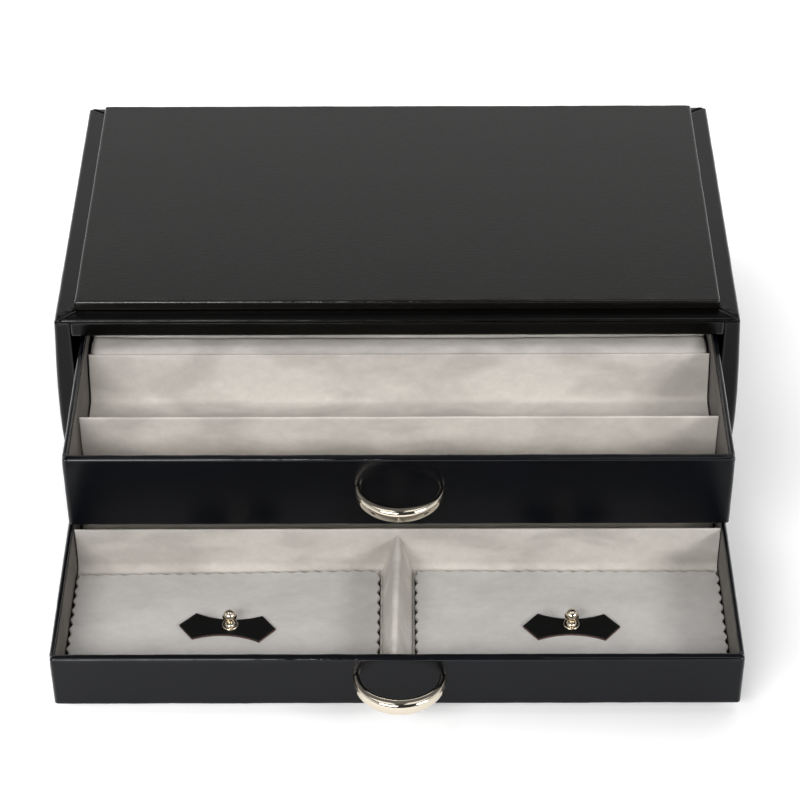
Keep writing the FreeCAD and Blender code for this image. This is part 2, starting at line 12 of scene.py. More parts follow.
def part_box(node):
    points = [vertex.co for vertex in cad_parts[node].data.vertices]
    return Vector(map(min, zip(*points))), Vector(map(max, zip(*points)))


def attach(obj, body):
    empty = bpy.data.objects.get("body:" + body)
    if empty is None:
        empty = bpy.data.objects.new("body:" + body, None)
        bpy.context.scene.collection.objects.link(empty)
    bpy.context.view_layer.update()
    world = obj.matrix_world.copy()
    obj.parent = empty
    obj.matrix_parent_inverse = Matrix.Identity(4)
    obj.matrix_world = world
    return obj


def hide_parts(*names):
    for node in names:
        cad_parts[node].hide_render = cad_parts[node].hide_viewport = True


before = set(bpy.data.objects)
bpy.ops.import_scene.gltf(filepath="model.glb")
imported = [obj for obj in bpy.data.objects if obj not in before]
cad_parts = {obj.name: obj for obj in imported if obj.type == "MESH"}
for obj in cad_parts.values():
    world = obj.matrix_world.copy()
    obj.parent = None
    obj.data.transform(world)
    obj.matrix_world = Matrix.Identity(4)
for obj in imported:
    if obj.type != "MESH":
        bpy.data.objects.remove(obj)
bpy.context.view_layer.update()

MM = 0.001

# ---------------------------------------------------------------- sizes of the dressing, mm
# Leather on the case.
RIM_THICKNESS = 1.3
RIM_TUCK = 0.02
CASE_ROUND = 1.15
SEAM_ROUND = 0.25
CASE_SIDE_SWELL = 1.8
SWELL_LEVEL = 0.7
MITRE_DEPTH = 0.42
MITRE_HALF_WIDTH = 0.34
MITRE_LIP = 0.16
MITRE_LIP_OFFSET = 2.2
MITRE_LIP_SPREAD = 1.6
MITRE_END_REACH = 1.5
MITRE_PUCKER = 0.14
MITRE_PUCKER_LENGTH = 1.9
MITRE_PUCKER_REACH = 2.0
RIM_FRONT_DROOP = 0.42
RIM_DROOP_REACH = 4.6
PANEL_ROUND = 0.9
PANEL_GATHER = 0.16
PANEL_GATHER_LENGTH = 2.2
PANEL_GATHER_REACH = 3.0

# Leather on the drawers.
DRAWER_CORNER_ROUND = 1.5
DRAWER_TOP_ROUND = 0.9
CORNER_GATHER = 0.32
CORNER_GATHER_LENGTH = 1.8
CORNER_GATHER_REACH = 4.0

# How far the leather's ripples stand out, how long they are, and how far from an edge they
# and the fold's polish reach.
EDGE_RIPPLE = 0.10
EDGE_RIPPLE_LENGTH = 9.0
FINE_EDGE_RIPPLE = 0.05
FINE_EDGE_RIPPLE_LENGTH = 2.6
FACE_RIPPLE = 0.05
FACE_RIPPLE_LENGTH = 34.0
EDGE_RIPPLE_REACH = 1.6
FOLD_REACH = 0.62
SEAM_REACH = 0.7

# Suede.
LINING_ROUND = 0.18
UPPER_FRONT_COVE_RADIUS = 2.0
UPPER_COVE_RADIUS = 2.2
LOWER_COVE_RADIUS = 2.6
SUEDE_RIPPLE = 0.16
SUEDE_RIPPLE_LENGTH = 16.0
SUEDE_RIPPLE_RISE = 4.0
SUEDE_RIPPLE_RUN = 3.0
SUEDE_LOOSE_ON_FLOOR = 0.35
SUEDE_FLOOR_TILT = 0.4
INSERT_CLEARANCE = 0.02
CARD_BOW = 0.08
CARD_BOW_LENGTH = 17.0
CARD_BOW_RUN = 6.0
PARTITION_TOP_ROUND = 0.45
PARTITION_THICKNESS = 1.0
# Floor faces under the pads that get the dark board as painted shade: how high they may reach, and how
# far short of the pads' rear they stop.
SHADE_FACE_RISE = 0.3
SHADE_SHORT_OF_REAR = 4.0
PAD_EDGE_TOLERANCE = 0.05
DIVIDER_LEAN = 1.3
DIVIDER_RIDGE = 1.35
DIVIDER_HOLLOW = 0.75
DIVIDER_FOOT_FLARE = 0.35
DIVIDER_RIPPLE = 0.12
DIVIDER_RIPPLE_LENGTH = 9.0

# Cufflink rolls.
ROLLS_IN_A_DRAWER = 6
ROLL_END_ROUND = 2.0
ROLL_SHOULDER = 1.8
ROLL_SQUARENESS = 2.8
ROLL_VOXEL = 1.3
ROLL_PRESSURE = 4.0
ROLL_SIM_FRAMES = 20
ROLL_MOVE_LIMIT = 0.55
ROLL_START_INSET = 0.15
ROLL_LIFT = 0.22
ROLL_LIFT_LENGTH = 14.0
ROLL_LIFT_RUN = 4.0
ROLL_SWAY = 0.15
ROLL_SWAY_LENGTH = 11.0
ROLL_SPARE_HEIGHT = 0.3

# Cover pads.
PINK_PITCH = 5.1
PINK_DEPTH = 1.3
PINK_FADE = 6.0
PINK_SHARPNESS = 0.97
PAD_ROUND = 0.25
LEFT_PAD_SKEW = 2.0
RIGHT_PAD_SKEW = -0.7
PAD_REAR_DRAW = 1.1
PAD_CURL = 0.28
PAD_CURL_REACH = 5.0
PAD_CURL_LENGTH = 19.0
PAD_WAVE = 0.16
PAD_WAVE_LENGTH = 33.0
PAD_SINK_LIMIT = 0.12

# Patches and studs.
PATCH_LENGTH = 34.8
PATCH_END_WIDTH = 12.8
PATCH_WAIST_WIDTH = 7.6
PATCH_POINT_LENGTH = 5.4
PATCH_EDGE_ROUND = 0.16
PATCH_EDGE_SHARE = PATCH_EDGE_ROUND / 6
PATCH_END_TAPER = 0.4
PATCH_CURL = 0.25
PATCH_CURL_POWER = 6
PATCH_TURNS = {"left": -3.6, "right": -0.7}
STUD_BALL_RADIUS = 2.3
STUD_BALL_FLATNESS = 0.88
STUD_CUP_DROP = 0.7
STUD_CUP_THROAT = 0.65

# Ring handles, as in the solids.
HANDLE_HALF_SPAN = 15.0
HANDLE_REACH = 14.2
HANDLE_END_HALF = 1.2
HANDLE_MIDDLE_HALF_THICKNESS = 2.2
HANDLE_MIDDLE_HALF_HEIGHT = 2.65
HANDLE_SQUARENESS = 2.8
HANDLE_POINTS_AROUND = 72
HANDLE_STATIONS = 120

# Camera: place in mm, angles in degrees, focal length in pixels of the 800 pixel frame.
CAMERA_PLACE = (4.3, -817.5, 661.6)
CAMERA_PITCH = 40.06
CAMERA_YAW = -0.26
CAMERA_ROLL = -0.31
CAMERA_FOCAL_PIXELS = 2549.9
FRAME_PIXELS = 800
SENSOR_WIDTH = 36.0


# ---------------------------------------------------------------- materials: small tools
def linear(hex_colour):
    """sRGB hex value as a linear colour."""
    channels = []
    for start in (0, 2, 4):
        value = int(hex_colour[start:start + 2], 16) / 255
        channels.append(value / 12.92 if value <= 0.04045 else ((value + 0.055) / 1.055) ** 2.4)
    return (*channels, 1.0)


def per_mm(size):
    """Texture scale for a pattern whose repeat is size millimetres."""
    return 1.0 / (size * MM)


def add(tree, kind, settings=None, links=None):
    """Adds a node. settings holds attributes and input values, links holds inputs' sources."""
    node = tree.nodes.new(kind)
    for key, value in (settings or {}).items():
        if isinstance(key, str) and hasattr(node, key):
            setattr(node, key, value)
        else:
            node.inputs[key].default_value = value
    for key, source in (links or {}).items():
        tree.links.new(source, node.inputs[key])
    return node


def blank_material(name, settings):
    """Material with a Principled shader. Returns it with its tree, shader and object coordinates."""
    material = bpy.data.materials.new(name)
    material.use_nodes = True
    tree = material.node_tree
    shader = tree.nodes["Principled BSDF"]
    for key, value in settings.items():
        shader.inputs[key].default_value = value
    place = add(tree, "ShaderNodeTexCoord").outputs["Object"]
    return material, tree, shader, place


# ---------------------------------------------------------------- materials: leather
LEATHER_IOR = 1.4
FOLD_ROUGHNESS = 0.10
FOLD_GLAZE = 1.0
FOLD_CREASE_HEIGHT = 0.07


def smooth_leather(name, dark, light, glaze, rough_low, rough_high, grain_stretch, grain_height):
    """Black calf leather, dyed through, rolled smooth and lightly glazed.

    The eye gets a deep black that lifts to warm grey where it mirrors a pale room, a faint
    grain in the sheen, and a thin, broken white line along each fold, polished by handling.
    """
    material, tree, shader, place = blank_material(name, {"IOR": LEATHER_IOR})
    stretched = add(tree, "ShaderNodeMapping", {"Scale": grain_stretch}, {"Vector": place})
    # Cloudy dye and handling marks, a few centimetres across.
    cloud = add(tree, "ShaderNodeTexNoise", {"Scale": per_mm(26), "Detail": 3.0}, {"Vector": place})
    colour = add(tree, "ShaderNodeMix", {"data_type": "RGBA", 6: linear(dark), 7: linear(light)},
                 {0: cloud.outputs["Fac"]})
    tree.links.new(colour.outputs[2], shader.inputs["Base Color"])
    # Grain drawn at 1.1 mm, coarser than the real 0.3 mm so that it still shows.
    grain = add(tree, "ShaderNodeTexNoise", {"Scale": per_mm(1.1), "Detail": 4.0, "Roughness": 0.62},
                {"Vector": stretched.outputs[0]})
    pores = add(tree, "ShaderNodeTexVoronoi", {"Scale": per_mm(0.9), "Randomness": 1.0},
                {"Vector": place})
    rough = add(tree, "ShaderNodeMapRange", {"From Min": 0.3, "From Max": 0.7,
                                             "To Min": rough_low, "To Max": rough_high},
                {"Value": grain.outputs["Fac"]})
    # Only where the mesh says that the leather folds over an edge: a polish, and faint creases.
    fold = add(tree, "ShaderNodeAttribute", {"attribute_name": "fold"})
    polish = add(tree, "ShaderNodeMix", {"data_type": "FLOAT", 3: FOLD_ROUGHNESS},
                 {0: fold.outputs["Fac"], 2: rough.outputs[0]})
    tree.links.new(polish.outputs[0], shader.inputs["Roughness"])
    shine = add(tree, "ShaderNodeMapRange", {"To Min": glaze, "To Max": FOLD_GLAZE},
                {"Value": fold.outputs["Fac"]})
    tree.links.new(shine.outputs[0], shader.inputs["Specular IOR Level"])
    crease = add(tree, "ShaderNodeTexNoise", {"Scale": per_mm(3.4), "Detail": 1.5, "Roughness": 0.6},
                 {"Vector": place})
    creased = add(tree, "ShaderNodeMath", {"operation": "MULTIPLY"},
                  {0: crease.outputs["Fac"], 1: fold.outputs["Fac"]})
    low_grain = add(tree, "ShaderNodeMath", {"operation": "MULTIPLY_ADD", 1: 0.25},
                    {0: pores.outputs["Distance"], 2: grain.outputs["Fac"]})
    bump = add(tree, "ShaderNodeBump", {"Strength": 0.55, "Distance": grain_height * MM},
               {"Height": low_grain.outputs[0]})
    fold_bump = add(tree, "ShaderNodeBump", {"Strength": 0.9, "Distance": FOLD_CREASE_HEIGHT * MM},
                    {"Height": creased.outputs[0], "Normal": bump.outputs[0]})
    tree.links.new(fold_bump.outputs[0], shader.inputs["Normal"])
    return material


def cut_leather_edge():
    """Raw cut edge of black leather: dull red-brown fibre that the dye didn't reach."""
    material, tree, shader, place = blank_material("cut_leather_edge", {"Roughness": 0.85, "IOR": 1.5})
    fibre = add(tree, "ShaderNodeTexNoise", {"Scale": per_mm(0.7), "Detail": 4.0}, {"Vector": place})
    colour = add(tree, "ShaderNodeMix", {"data_type": "RGBA", 6: linear("2c1d1a"), 7: linear("6d4b42")},
                 {0: fibre.outputs["Fac"]})
    tree.links.new(colour.outputs[2], shader.inputs["Base Color"])
    bump = add(tree, "ShaderNodeBump", {"Strength": 0.5, "Distance": 0.1 * MM},
               {"Height": fibre.outputs["Fac"]})
    tree.links.new(bump.outputs[0], shader.inputs["Normal"])
    return material


# ---------------------------------------------------------------- materials: suede and felt
NAP_CONTRAST = 0.08


def brushed_suede(name, shade, middle, bright, nap_size, mottle, sheen):
    """Split suede with a brushed nap.

    The eye gets a matt, warm pale grey, mottled where the nap lies one way or the other, with
    short soft strokes in it, and a faint bloom at a glancing angle.
    """
    settings = {"Roughness": 0.95, "IOR": 1.45, "Specular IOR Level": 0.15,
                "Sheen Weight": sheen, "Sheen Roughness": 0.6, "Sheen Tint": linear("e8e4de")}
    material, tree, shader, place = blank_material(name, settings)
    # Where the nap has been stroked: patches about 30 mm long and 15 mm wide.
    strokes = add(tree, "ShaderNodeMapping", {"Scale": (0.5, 1.0, 1.0), "Rotation": (0.3, 0.2, 0.5)},
                  {"Vector": place})
    patches = add(tree, "ShaderNodeTexNoise", {"Scale": per_mm(15), "Detail": 2.5, "Distortion": 0.4},
                  {"Vector": strokes.outputs[0]})
    nap = add(tree, "ShaderNodeTexNoise", {"Scale": per_mm(nap_size), "Detail": 5.0, "Roughness": 0.7},
              {"Vector": place})
    spread = add(tree, "ShaderNodeMapRange", {"From Min": 0.40, "From Max": 0.60,
                                              "To Min": 0.5 - mottle, "To Max": 0.5 + mottle},
                 {"Value": patches.outputs["Fac"]})
    base = add(tree, "ShaderNodeMix", {"data_type": "RGBA", 6: linear(shade), 7: linear(bright)},
               {0: spread.outputs[0]})
    fleck = add(tree, "ShaderNodeMapRange", {"From Min": 0.25, "From Max": 0.75,
                                             "To Min": 0.0, "To Max": 0.42},
                {"Value": nap.outputs["Fac"]})
    colour = add(tree, "ShaderNodeMix", {"data_type": "RGBA", 7: linear(middle)},
                 {0: fleck.outputs[0], 6: base.outputs[2]})
    # Short strokes left by a finger, 5 mm long and 3 mm wide, and the fibres themselves.
    rubbed = add(tree, "ShaderNodeMapping", {"Scale": (0.6, 1.0, 0.8), "Rotation": (0.2, 0.1, -0.7)},
                 {"Vector": place})
    strokes_seen = add(tree, "ShaderNodeTexNoise", {"Scale": per_mm(3.0), "Detail": 6.0,
                                                    "Roughness": 0.68, "Distortion": 0.5},
                       {"Vector": rubbed.outputs[0]})
    tone = add(tree, "ShaderNodeMapRange", {"From Min": 0.25, "From Max": 0.75,
                                            "To Min": 1.0 - NAP_CONTRAST, "To Max": 1.0 + NAP_CONTRAST},
               {"Value": strokes_seen.outputs["Fac"]})
    toned = add(tree, "ShaderNodeHueSaturation", {}, {"Value": tone.outputs[0],
                                                      "Color": colour.outputs[2]})
    tree.links.new(toned.outputs[0], shader.inputs["Base Color"])
    bump = add(tree, "ShaderNodeBump", {"Strength": 0.5, "Distance": 0.18 * MM},
               {"Height": nap.outputs["Fac"]})
    tree.links.new(bump.outputs[0], shader.inputs["Normal"])
    return material


def pressed_felt():
    """Pressed wool felt, black: matt, with short fibres lying every way."""
    settings = {"Roughness": 1.0, "Specular IOR Level": 0.1, "Sheen Weight": 0.3}
    material, tree, shader, place = blank_material("pressed_felt", settings)
    fibre = add(tree, "ShaderNodeTexNoise", {"Scale": per_mm(0.8), "Detail": 6.0, "Distortion": 1.5},
                {"Vector": place})
    colour = add(tree, "ShaderNodeMix", {"data_type": "RGBA", 6: linear("0f0f11"), 7: linear("2a2a2d")},
                 {0: fibre.outputs["Fac"]})
    tree.links.new(colour.outputs[2], shader.inputs["Base Color"])
    bump = add(tree, "ShaderNodeBump", {"Strength": 0.8, "Distance": 0.2 * MM},
               {"Height": fibre.outputs["Fac"]})
    tree.links.new(bump.outputs[0], shader.inputs["Normal"])
    return material


def papered_board(name, dark, light):
    """Grey board with a plain paper facing: dull, with short flecks from the pulp."""
    material, tree, shader, place = blank_material(name, {"Roughness": 0.85, "IOR": 1.5})
    pulp = add(tree, "ShaderNodeTexNoise", {"Scale": per_mm(1.4), "Detail": 5.0}, {"Vector": place})
    colour = add(tree, "ShaderNodeMix", {"data_type": "RGBA", 6: linear(dark), 7: linear(light)},
                 {0: pulp.outputs["Fac"]})
    tree.links.new(colour.outputs[2], shader.inputs["Base Color"])
    bump = add(tree, "ShaderNodeBump", {"Strength": 0.3, "Distance": 0.08 * MM},
               {"Height": pulp.outputs["Fac"]})
    tree.links.new(bump.outputs[0], shader.inputs["Normal"])
    return material


# ---------------------------------------------------------------- materials: metal
def polished_plate(name, colour, roughness):
    """Cast brass, polished and plated in pale gold.

    The eye gets hard mirror streaks, cream to tan, with a faint haze from wiping.
    """
    settings = {"Metallic": 1.0, "Base Color": linear(colour)}
    material, tree, shader, place = blank_material(name, settings)
    wiping = add(tree, "ShaderNodeTexNoise", {"Scale": per_mm(3.0), "Detail": 4.0}, {"Vector": place})
    haze = add(tree, "ShaderNodeMapRange", {"To Min": roughness * 0.7, "To Max": roughness * 1.5},
               {"Value": wiping.outputs["Fac"]})
    tree.links.new(haze.outputs[0], shader.inputs["Roughness"])
    bump = add(tree, "ShaderNodeBump", {"Strength": 0.02, "Distance": 0.05 * MM},
               {"Height": wiping.outputs["Fac"]})
    tree.links.new(bump.outputs[0], shader.inputs["Normal"])
    return material


def turned_steel():
    """Plain turned steel screws: grey, with fine tool rings that blur the shine."""
    settings = {"Metallic": 1.0, "Base Color": linear("b4b4b2")}
    material, tree, shader, place = blank_material("turned_steel", settings)
    rings = add(tree, "ShaderNodeTexNoise", {"Scale": per_mm(0.5), "Detail": 3.0}, {"Vector": place})
    rough = add(tree, "ShaderNodeMapRange", {"To Min": 0.25, "To Max": 0.45},
                {"Value": rings.outputs["Fac"]})
    tree.links.new(rough.outputs[0], shader.inputs["Roughness"])
    return material


EVEN_GRAIN = (1.0, 1.0, 1.0)
CASE_LEATHER = smooth_leather("case_leather", "030303", "060605", 0.30, 0.20, 0.26,
                              (0.5, 1.3, 1.0), 0.014)
PANEL_LEATHER = smooth_leather("panel_leather", "0a0807", "100e0b", 0.35, 0.24, 0.34,
                               (0.25, 1.6, 1.0), 0.07)
# Its faint blue is painted reflection: the bluish cast the drawer fronts mirror from the floor, put
# into the colour.
DRAWER_LEATHER = smooth_leather("drawer_leather", "020306", "04060c", 0.28, 0.20, 0.26,
                                EVEN_GRAIN, 0.010)
PATCH_LEATHER = smooth_leather("patch_leather", "040404", "080808", 0.3, 0.36, 0.50,
                               EVEN_GRAIN, 0.06)
CUT_EDGE = cut_leather_edge()
LINING_SUEDE = brushed_suede("lining_suede", "b1aca6", "bfbab3", "ccc7c0", 1.2, 0.45, 0.25)
# Side linings: the lining suede painted darker, as painted shade for the shade along the drawers' side
# walls.
SHADED_SIDE_SUEDE = brushed_suede("side_suede_painted_shade", "514d49", "5d5853", "67625d", 1.2, 0.35, 0.1)
ROLL_SUEDE = brushed_suede("roll_suede", "aaa5a0", "bbb6b0", "c8c3bd", 1.2, 0.35, 0.25)
# Rolls of the lower drawer: the roll suede painted darker, as painted shade for the shadow under the
# upper drawer.
SHADED_ROLL_SUEDE = brushed_suede("roll_suede_painted_shade", "7a736a", "857e75", "8f887f", 1.2, 0.35, 0.15)
PAD_SUEDE = brushed_suede("pad_suede", "b0adaa", "bab7b4", "c3c0bd", 0.8, 0.25, 0.2)
BASE_FELT = pressed_felt()
# Dark facing board of the drawers' bottoms; also used as painted shade on the insert's floor under the
# pads, where it stands for the shade of a deep gap in the notches of their edges.
BOARD_AND_PAD_GAP_SHADE = papered_board("drawer_board", "1d1b19", "2c2926")
RISER_BOARD = papered_board("riser_board", "77726b", "968f87")
HANDLE_PLATE = polished_plate("handle_plate", "ddd3c2", 0.07)
STUD_PLATE = polished_plate("stud_plate", "ddd2bf", 0.08)
SCREW_STEEL = turned_steel()


# ---------------------------------------------------------------- meshes: small tools
def solid_box(node):
    """Lowest and highest corner of a solid, in millimetres."""
    low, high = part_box(node)
    return Vector(low) / MM, Vector(high) / MM


def wave(point, length, seed):
    """Smooth ripple from -1 to 1, about length millimetres from crest to crest."""
    return noise.noise(Vector(point) / length + Vector((seed, 1.7 * seed, 2.3 * seed)))


def near(distance, reach):
    """1 at no distance, falling smoothly towards 0 past reach."""
    return math.exp(-(distance / reach) ** 2)


def squared(share, squareness):
    """Cosine or sine of a turn, drawn out towards a square with round corners."""
    return math.copysign(abs(share) ** (2 / squareness), share)


def make_piece(name, points, faces, materials, body, folds=None, face_slots=None):
    """Object from points in millimetres, smooth shaded, riding on a body."""
    mesh = bpy.data.meshes.new(name)
    mesh.from_pydata([Vector(point) * MM for point in points], [], faces)
    mesh.update()
    for material in materials:
        mesh.materials.append(material)
    mesh.polygons.foreach_set("use_smooth", [True] * len(faces))
    if face_slots:
        mesh.polygons.foreach_set("material_index", face_slots)
    if folds:
        mesh.attributes.new("fold", "FLOAT", "POINT").data.foreach_set("value", folds)
    piece = bpy.data.objects.new(name, mesh)
    bpy.context.scene.collection.objects.link(piece)
    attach(piece, body)
    return piece


def grid_lines(low, high, edge_step, edge_width, middle_step):
    """Places from low to high, closer together within edge_width of both ends."""
    width = min(edge_width, (high - low) * 0.45)
    edge_count = max(1, round(width / edge_step))
    middle = high - low - 2 * width
    middle_count = max(1, round(middle / middle_step))
    lines = [low + width * index / edge_count for index in range(edge_count)]
    lines += [low + width + middle * index / middle_count for index in range(middle_count + 1)]
    lines += [high - width * index / edge_count for index in range(edge_count - 1, -1, -1)]
    return lines


def rounded_box(low, high, rounds, steps):
    """Points, outward directions, distances from the nearest edge, and faces of a rounded box.

    rounds has a low and a high radius for each axis. steps is (edge step, edge width, middle step),
    or one such triple for each axis.
    """
    per_axis = steps if isinstance(steps[0], tuple) else (steps, steps, steps)
    lines = [grid_lines(low[axis], high[axis], *per_axis[axis]) for axis in range(3)]
    points, outward, edge_distances, faces = [], [], [], []
    index_of = {}

    def vertex(key):
        if key in index_of:
            return index_of[key]
        offset, raw, core = [], [], []
        for axis in range(3):
            place = lines[axis][key[axis]]
            low_core = low[axis] + rounds[axis][0]
            high_core = high[axis] - rounds[axis][1]
            radius = rounds[axis][0] if place < low_core else rounds[axis][1]
            clamped = min(max(place, low_core), high_core)
            raw.append(place)
            core.append(clamped)
            offset.append(((place - clamped) / radius, radius))
        direction = Vector([share for share, radius in offset]).normalized()
        point = Vector([core[axis] + direction[axis] * offset[axis][1] for axis in range(3)])
        normal = Vector([direction[axis] / offset[axis][1] for axis in range(3)]).normalized()
        gaps = sorted(min(raw[axis] - low[axis], high[axis] - raw[axis]) for axis in range(3))
        index_of[key] = len(points)
        points.append(point)
        outward.append(normal)
        edge_distances.append(gaps[1])
        return index_of[key]

    last = [len(line) - 1 for line in lines]
    for axis in range(3):
        u_axis, v_axis = (axis + 1) % 3, (axis + 2) % 3
        for side in (0, last[axis]):
            for u in range(last[u_axis]):
                for v in range(last[v_axis]):
                    corners = []
                    for du, dv in ((0, 0), (1, 0), (1, 1), (0, 1)):
                        key = [0, 0, 0]
                        key[axis], key[u_axis], key[v_axis] = side, u + du, v + dv
                        corners.append(vertex(tuple(key)))
                    faces.append(corners if side else corners[::-1])
    return points, outward, edge_distances, faces


# ---------------------------------------------------------------- leather over board
def leather_ripple(point, edge_distance, seed):
    """How far the leather stands off the board there: loose on the faces, rippled along edges."""
    edge = near(edge_distance, EDGE_RIPPLE_REACH)
    along_edge = EDGE_RIPPLE * wave(point, EDGE_RIPPLE_LENGTH, seed)
    along_edge += FINE_EDGE_RIPPLE * wave(point, FINE_EDGE_RIPPLE_LENGTH, seed)
    return along_edge * edge + FACE_RIPPLE * wave(point, FACE_RIPPLE_LENGTH, seed)


def leather_board(name, low, high, rounds, steps, material, body, seed, relief=None,
                  warp=None, seam=None):
    """Board wrapped in leather, polished at its folds.

    relief adds to how far it stands out, warp moves whole points, and seam is the height of a seam
    where the leather lies flat and stays dull.
    """
    points, outward, edge_distances, faces = rounded_box(low, high, rounds, steps)
    folds = []
    for index, point in enumerate(points):
        distance = edge_distances[index]
        height = leather_ripple(point, distance, seed)
        if relief:
            height += relief(point)
        points[index] = point + outward[index] * height
        if warp:
            points[index] = warp(points[index])
        fold = near(distance, FOLD_REACH)
        if seam is not None:
            fold *= 1 - near(point.z - seam, SEAM_REACH)
        folds.append(fold)
    return make_piece(name, points, faces, [material], body, folds)


def both(radius):
    """The same radius at the low and the high end of an axis."""
    return (radius, radius)


# Spacing of the mesh, in mm: step at both ends, how far that reaches, and step between.
BOARD_STEPS = (0.3, 2.4, 2.6)
PLAIN_STEPS = (0.35, 1.4, 6.0)
CARD_STEPS = (0.15, 0.45, 3.0)
RIM_STEPS = ((0.3, 8.6, 3.0), (0.3, 8.6, 3.0), (0.2, 0.6, 0.6))
INSERT_STEPS = (0.3, 1.2, 3.0)
DIVIDER_STEPS = (0.4, 1.5, 2.0)
ROLL_STEPS = (0.35, ROLL_END_ROUND + 0.5, 1.6)


# ---------------------------------------------------------------- case
rim_low, rim_high = solid_box("case_left_wall")
_, right_wall_high = solid_box("case_right_wall")
panel_low, panel_high = solid_box("top_panel")
top_low, top_high = solid_box("case_top_board")
RIM_BOTTOM = rim_high.z - RIM_THICKNESS


def side_swell(point):
    """The side leather stands proud, most of all a little below mid height."""
    share = min(max((point.z - rim_low.z) / (rim_high.z - rim_low.z), 0.0), 1.0) ** SWELL_LEVEL
    outwards = max(0.0, (abs(point.x) - top_high.x) / (right_wall_high.x - top_high.x))
    swell = CASE_SIDE_SWELL * math.sin(math.pi * share) * outwards
    return Vector((point.x + math.copysign(swell, point.x), point.y, point.z))


def case_walls():
    """Left and right walls, up to the rim's leather."""
    for side, node in (("left", "case_left_wall"), ("right", "case_right_wall")):
        low, high = solid_box(node)
        high.z = RIM_BOTTOM + RIM_TUCK
        outer_inner = (CASE_ROUND, SEAM_ROUND) if side == "left" else (SEAM_ROUND, CASE_ROUND)
        rounds = (outer_inner, both(CASE_ROUND), (0.5, 0.05))
        wall = leather_board(node + "_leather", low, high, rounds, BOARD_STEPS, CASE_LEATHER,
                             "case", 3.1 if side == "left" else 7.7, warp=side_swell,
                             seam=RIM_BOTTOM)
        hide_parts(node)


def mitre_relief(point):
    """Creases where the rim's leather is mitred, from each outer corner to the panel's corner."""
    corner_x = right_wall_high.x
    run_x = corner_x - panel_high.x
    in_front = point.y < 0
    corner_y = -rim_low.y if in_front else rim_high.y
    panel_y = -panel_low.y if in_front else panel_high.y
    run_y = corner_y - panel_y
    from_x = corner_x - abs(point.x)
    from_y = corner_y - abs(point.y)
    length = math.hypot(run_x, run_y)
    droop = -RIM_FRONT_DROOP * max(0.0, 1 - from_y / RIM_DROOP_REACH) ** 2 if in_front else 0.0
    across = (from_x * run_y - from_y * run_x) / length
    along = (from_x * run_x + from_y * run_y) / length
    if along > length + MITRE_END_REACH:
        return droop
    crease = -MITRE_DEPTH * near(across, MITRE_HALF_WIDTH)
    lip = MITRE_LIP * near(across - MITRE_LIP_OFFSET * MITRE_HALF_WIDTH,
                           MITRE_LIP_SPREAD * MITRE_HALF_WIDTH)
    pucker = MITRE_PUCKER * wave(point, MITRE_PUCKER_LENGTH, 5.0) * near(across, MITRE_PUCKER_REACH)
    return crease + lip + pucker + droop


def case_top():
    """Rim leather with mitred corners, and the board's facing under it."""
    low = Vector((-right_wall_high.x, rim_low.y, RIM_BOTTOM))
    high = Vector((right_wall_high.x, rim_high.y, rim_high.z))
    rounds = (both(CASE_ROUND), both(CASE_ROUND), (0.12, CASE_ROUND))
    rim = leather_board("case_rim_leather", low, high, rounds, RIM_STEPS, CASE_LEATHER,
                        "case", 1.3, relief=mitre_relief, seam=RIM_BOTTOM)
    facing_high = Vector((top_high.x, top_high.y, RIM_BOTTOM + RIM_TUCK))
    rounds = (both(SEAM_ROUND), (0.5, 0.5), (1.0, 0.05))
    facing = leather_board("case_top_board_leather", top_low, facing_high, rounds, BOARD_STEPS,
                           CASE_LEATHER, "case", 2.2, seam=RIM_BOTTOM)
    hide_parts("case_top_board")
    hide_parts("case_top_board")


def case_inner_boards():
    """Back board, shelf and base board."""
    for node, rounds, seed in (("case_back_board", (both(0.4), both(0.5), both(0.4)), 4.4),
                               ("case_drawer_shelf", (both(0.3), (1.1, 0.3), both(1.1)), 5.5),
                               ("case_base_board", (both(0.3), (1.1, 0.3), (0.3, 1.1)), 6.6)):
        low, high = solid_box(node)
        board = leather_board(node + "_leather", low, high, rounds, PLAIN_STEPS, CASE_LEATHER,
                              "case", seed)
        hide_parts(node)


def panel_relief(point):
    """Gathers in the leather at the panel's corners."""
    from_corner = math.hypot(panel_high.x - abs(point.x),
                             min(point.y - panel_low.y, panel_high.y - point.y))
    return PANEL_GATHER * wave(point, PANEL_GATHER_LENGTH, 9.0) * near(from_corner, PANEL_GATHER_REACH)


def case_panel():
    """Raised panel."""
    rounds = (both(PANEL_ROUND), both(PANEL_ROUND), (0.15, PANEL_ROUND))
    panel = leather_board("top_panel_leather", panel_low, panel_high, rounds, BOARD_STEPS,
                          PANEL_LEATHER, "case", 8.8, relief=panel_relief)
    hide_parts("top_panel")


# ---------------------------------------------------------------- drawer boxes
def corner_gather(low, high):
    """Relief that gathers the leather at a front wall's two upper corners."""
    def relief(point):
        across = min(point.x - low.x, high.x - point.x)
        from_corner = math.hypot(across, high.z - point.z)
        gather = CORNER_GATHER * wave(point, CORNER_GATHER_LENGTH, 12.0)
        return gather * near(from_corner, CORNER_GATHER_REACH)
    return relief


def drawer_walls(prefix, body, seed):
    """Leather-covered front, side and rear walls."""
    low, high = solid_box(prefix + "_front_wall")
    rounds = (both(DRAWER_CORNER_ROUND), (DRAWER_TOP_ROUND, 0.7), (0.7, DRAWER_TOP_ROUND))
    front = leather_board(prefix + "_front_wall_leather", low, high, rounds, BOARD_STEPS,
                          DRAWER_LEATHER, body, seed,
                          relief=corner_gather(low, high))
    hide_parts(prefix + "_front_wall")
    for offset, part in enumerate(("_left_wall", "_right_wall", "_rear_wall")):
        low, high = solid_box(prefix + part)
        rounds = (both(0.85), both(0.3), (0.5, 0.85))
        if part == "_rear_wall":
            rounds = (both(0.3), both(0.85), (0.5, 0.85))
        wall = leather_board(prefix + part + "_leather", low, high, rounds, BOARD_STEPS,
                             DRAWER_LEATHER, body, seed + offset + 1)
        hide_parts(prefix + part)


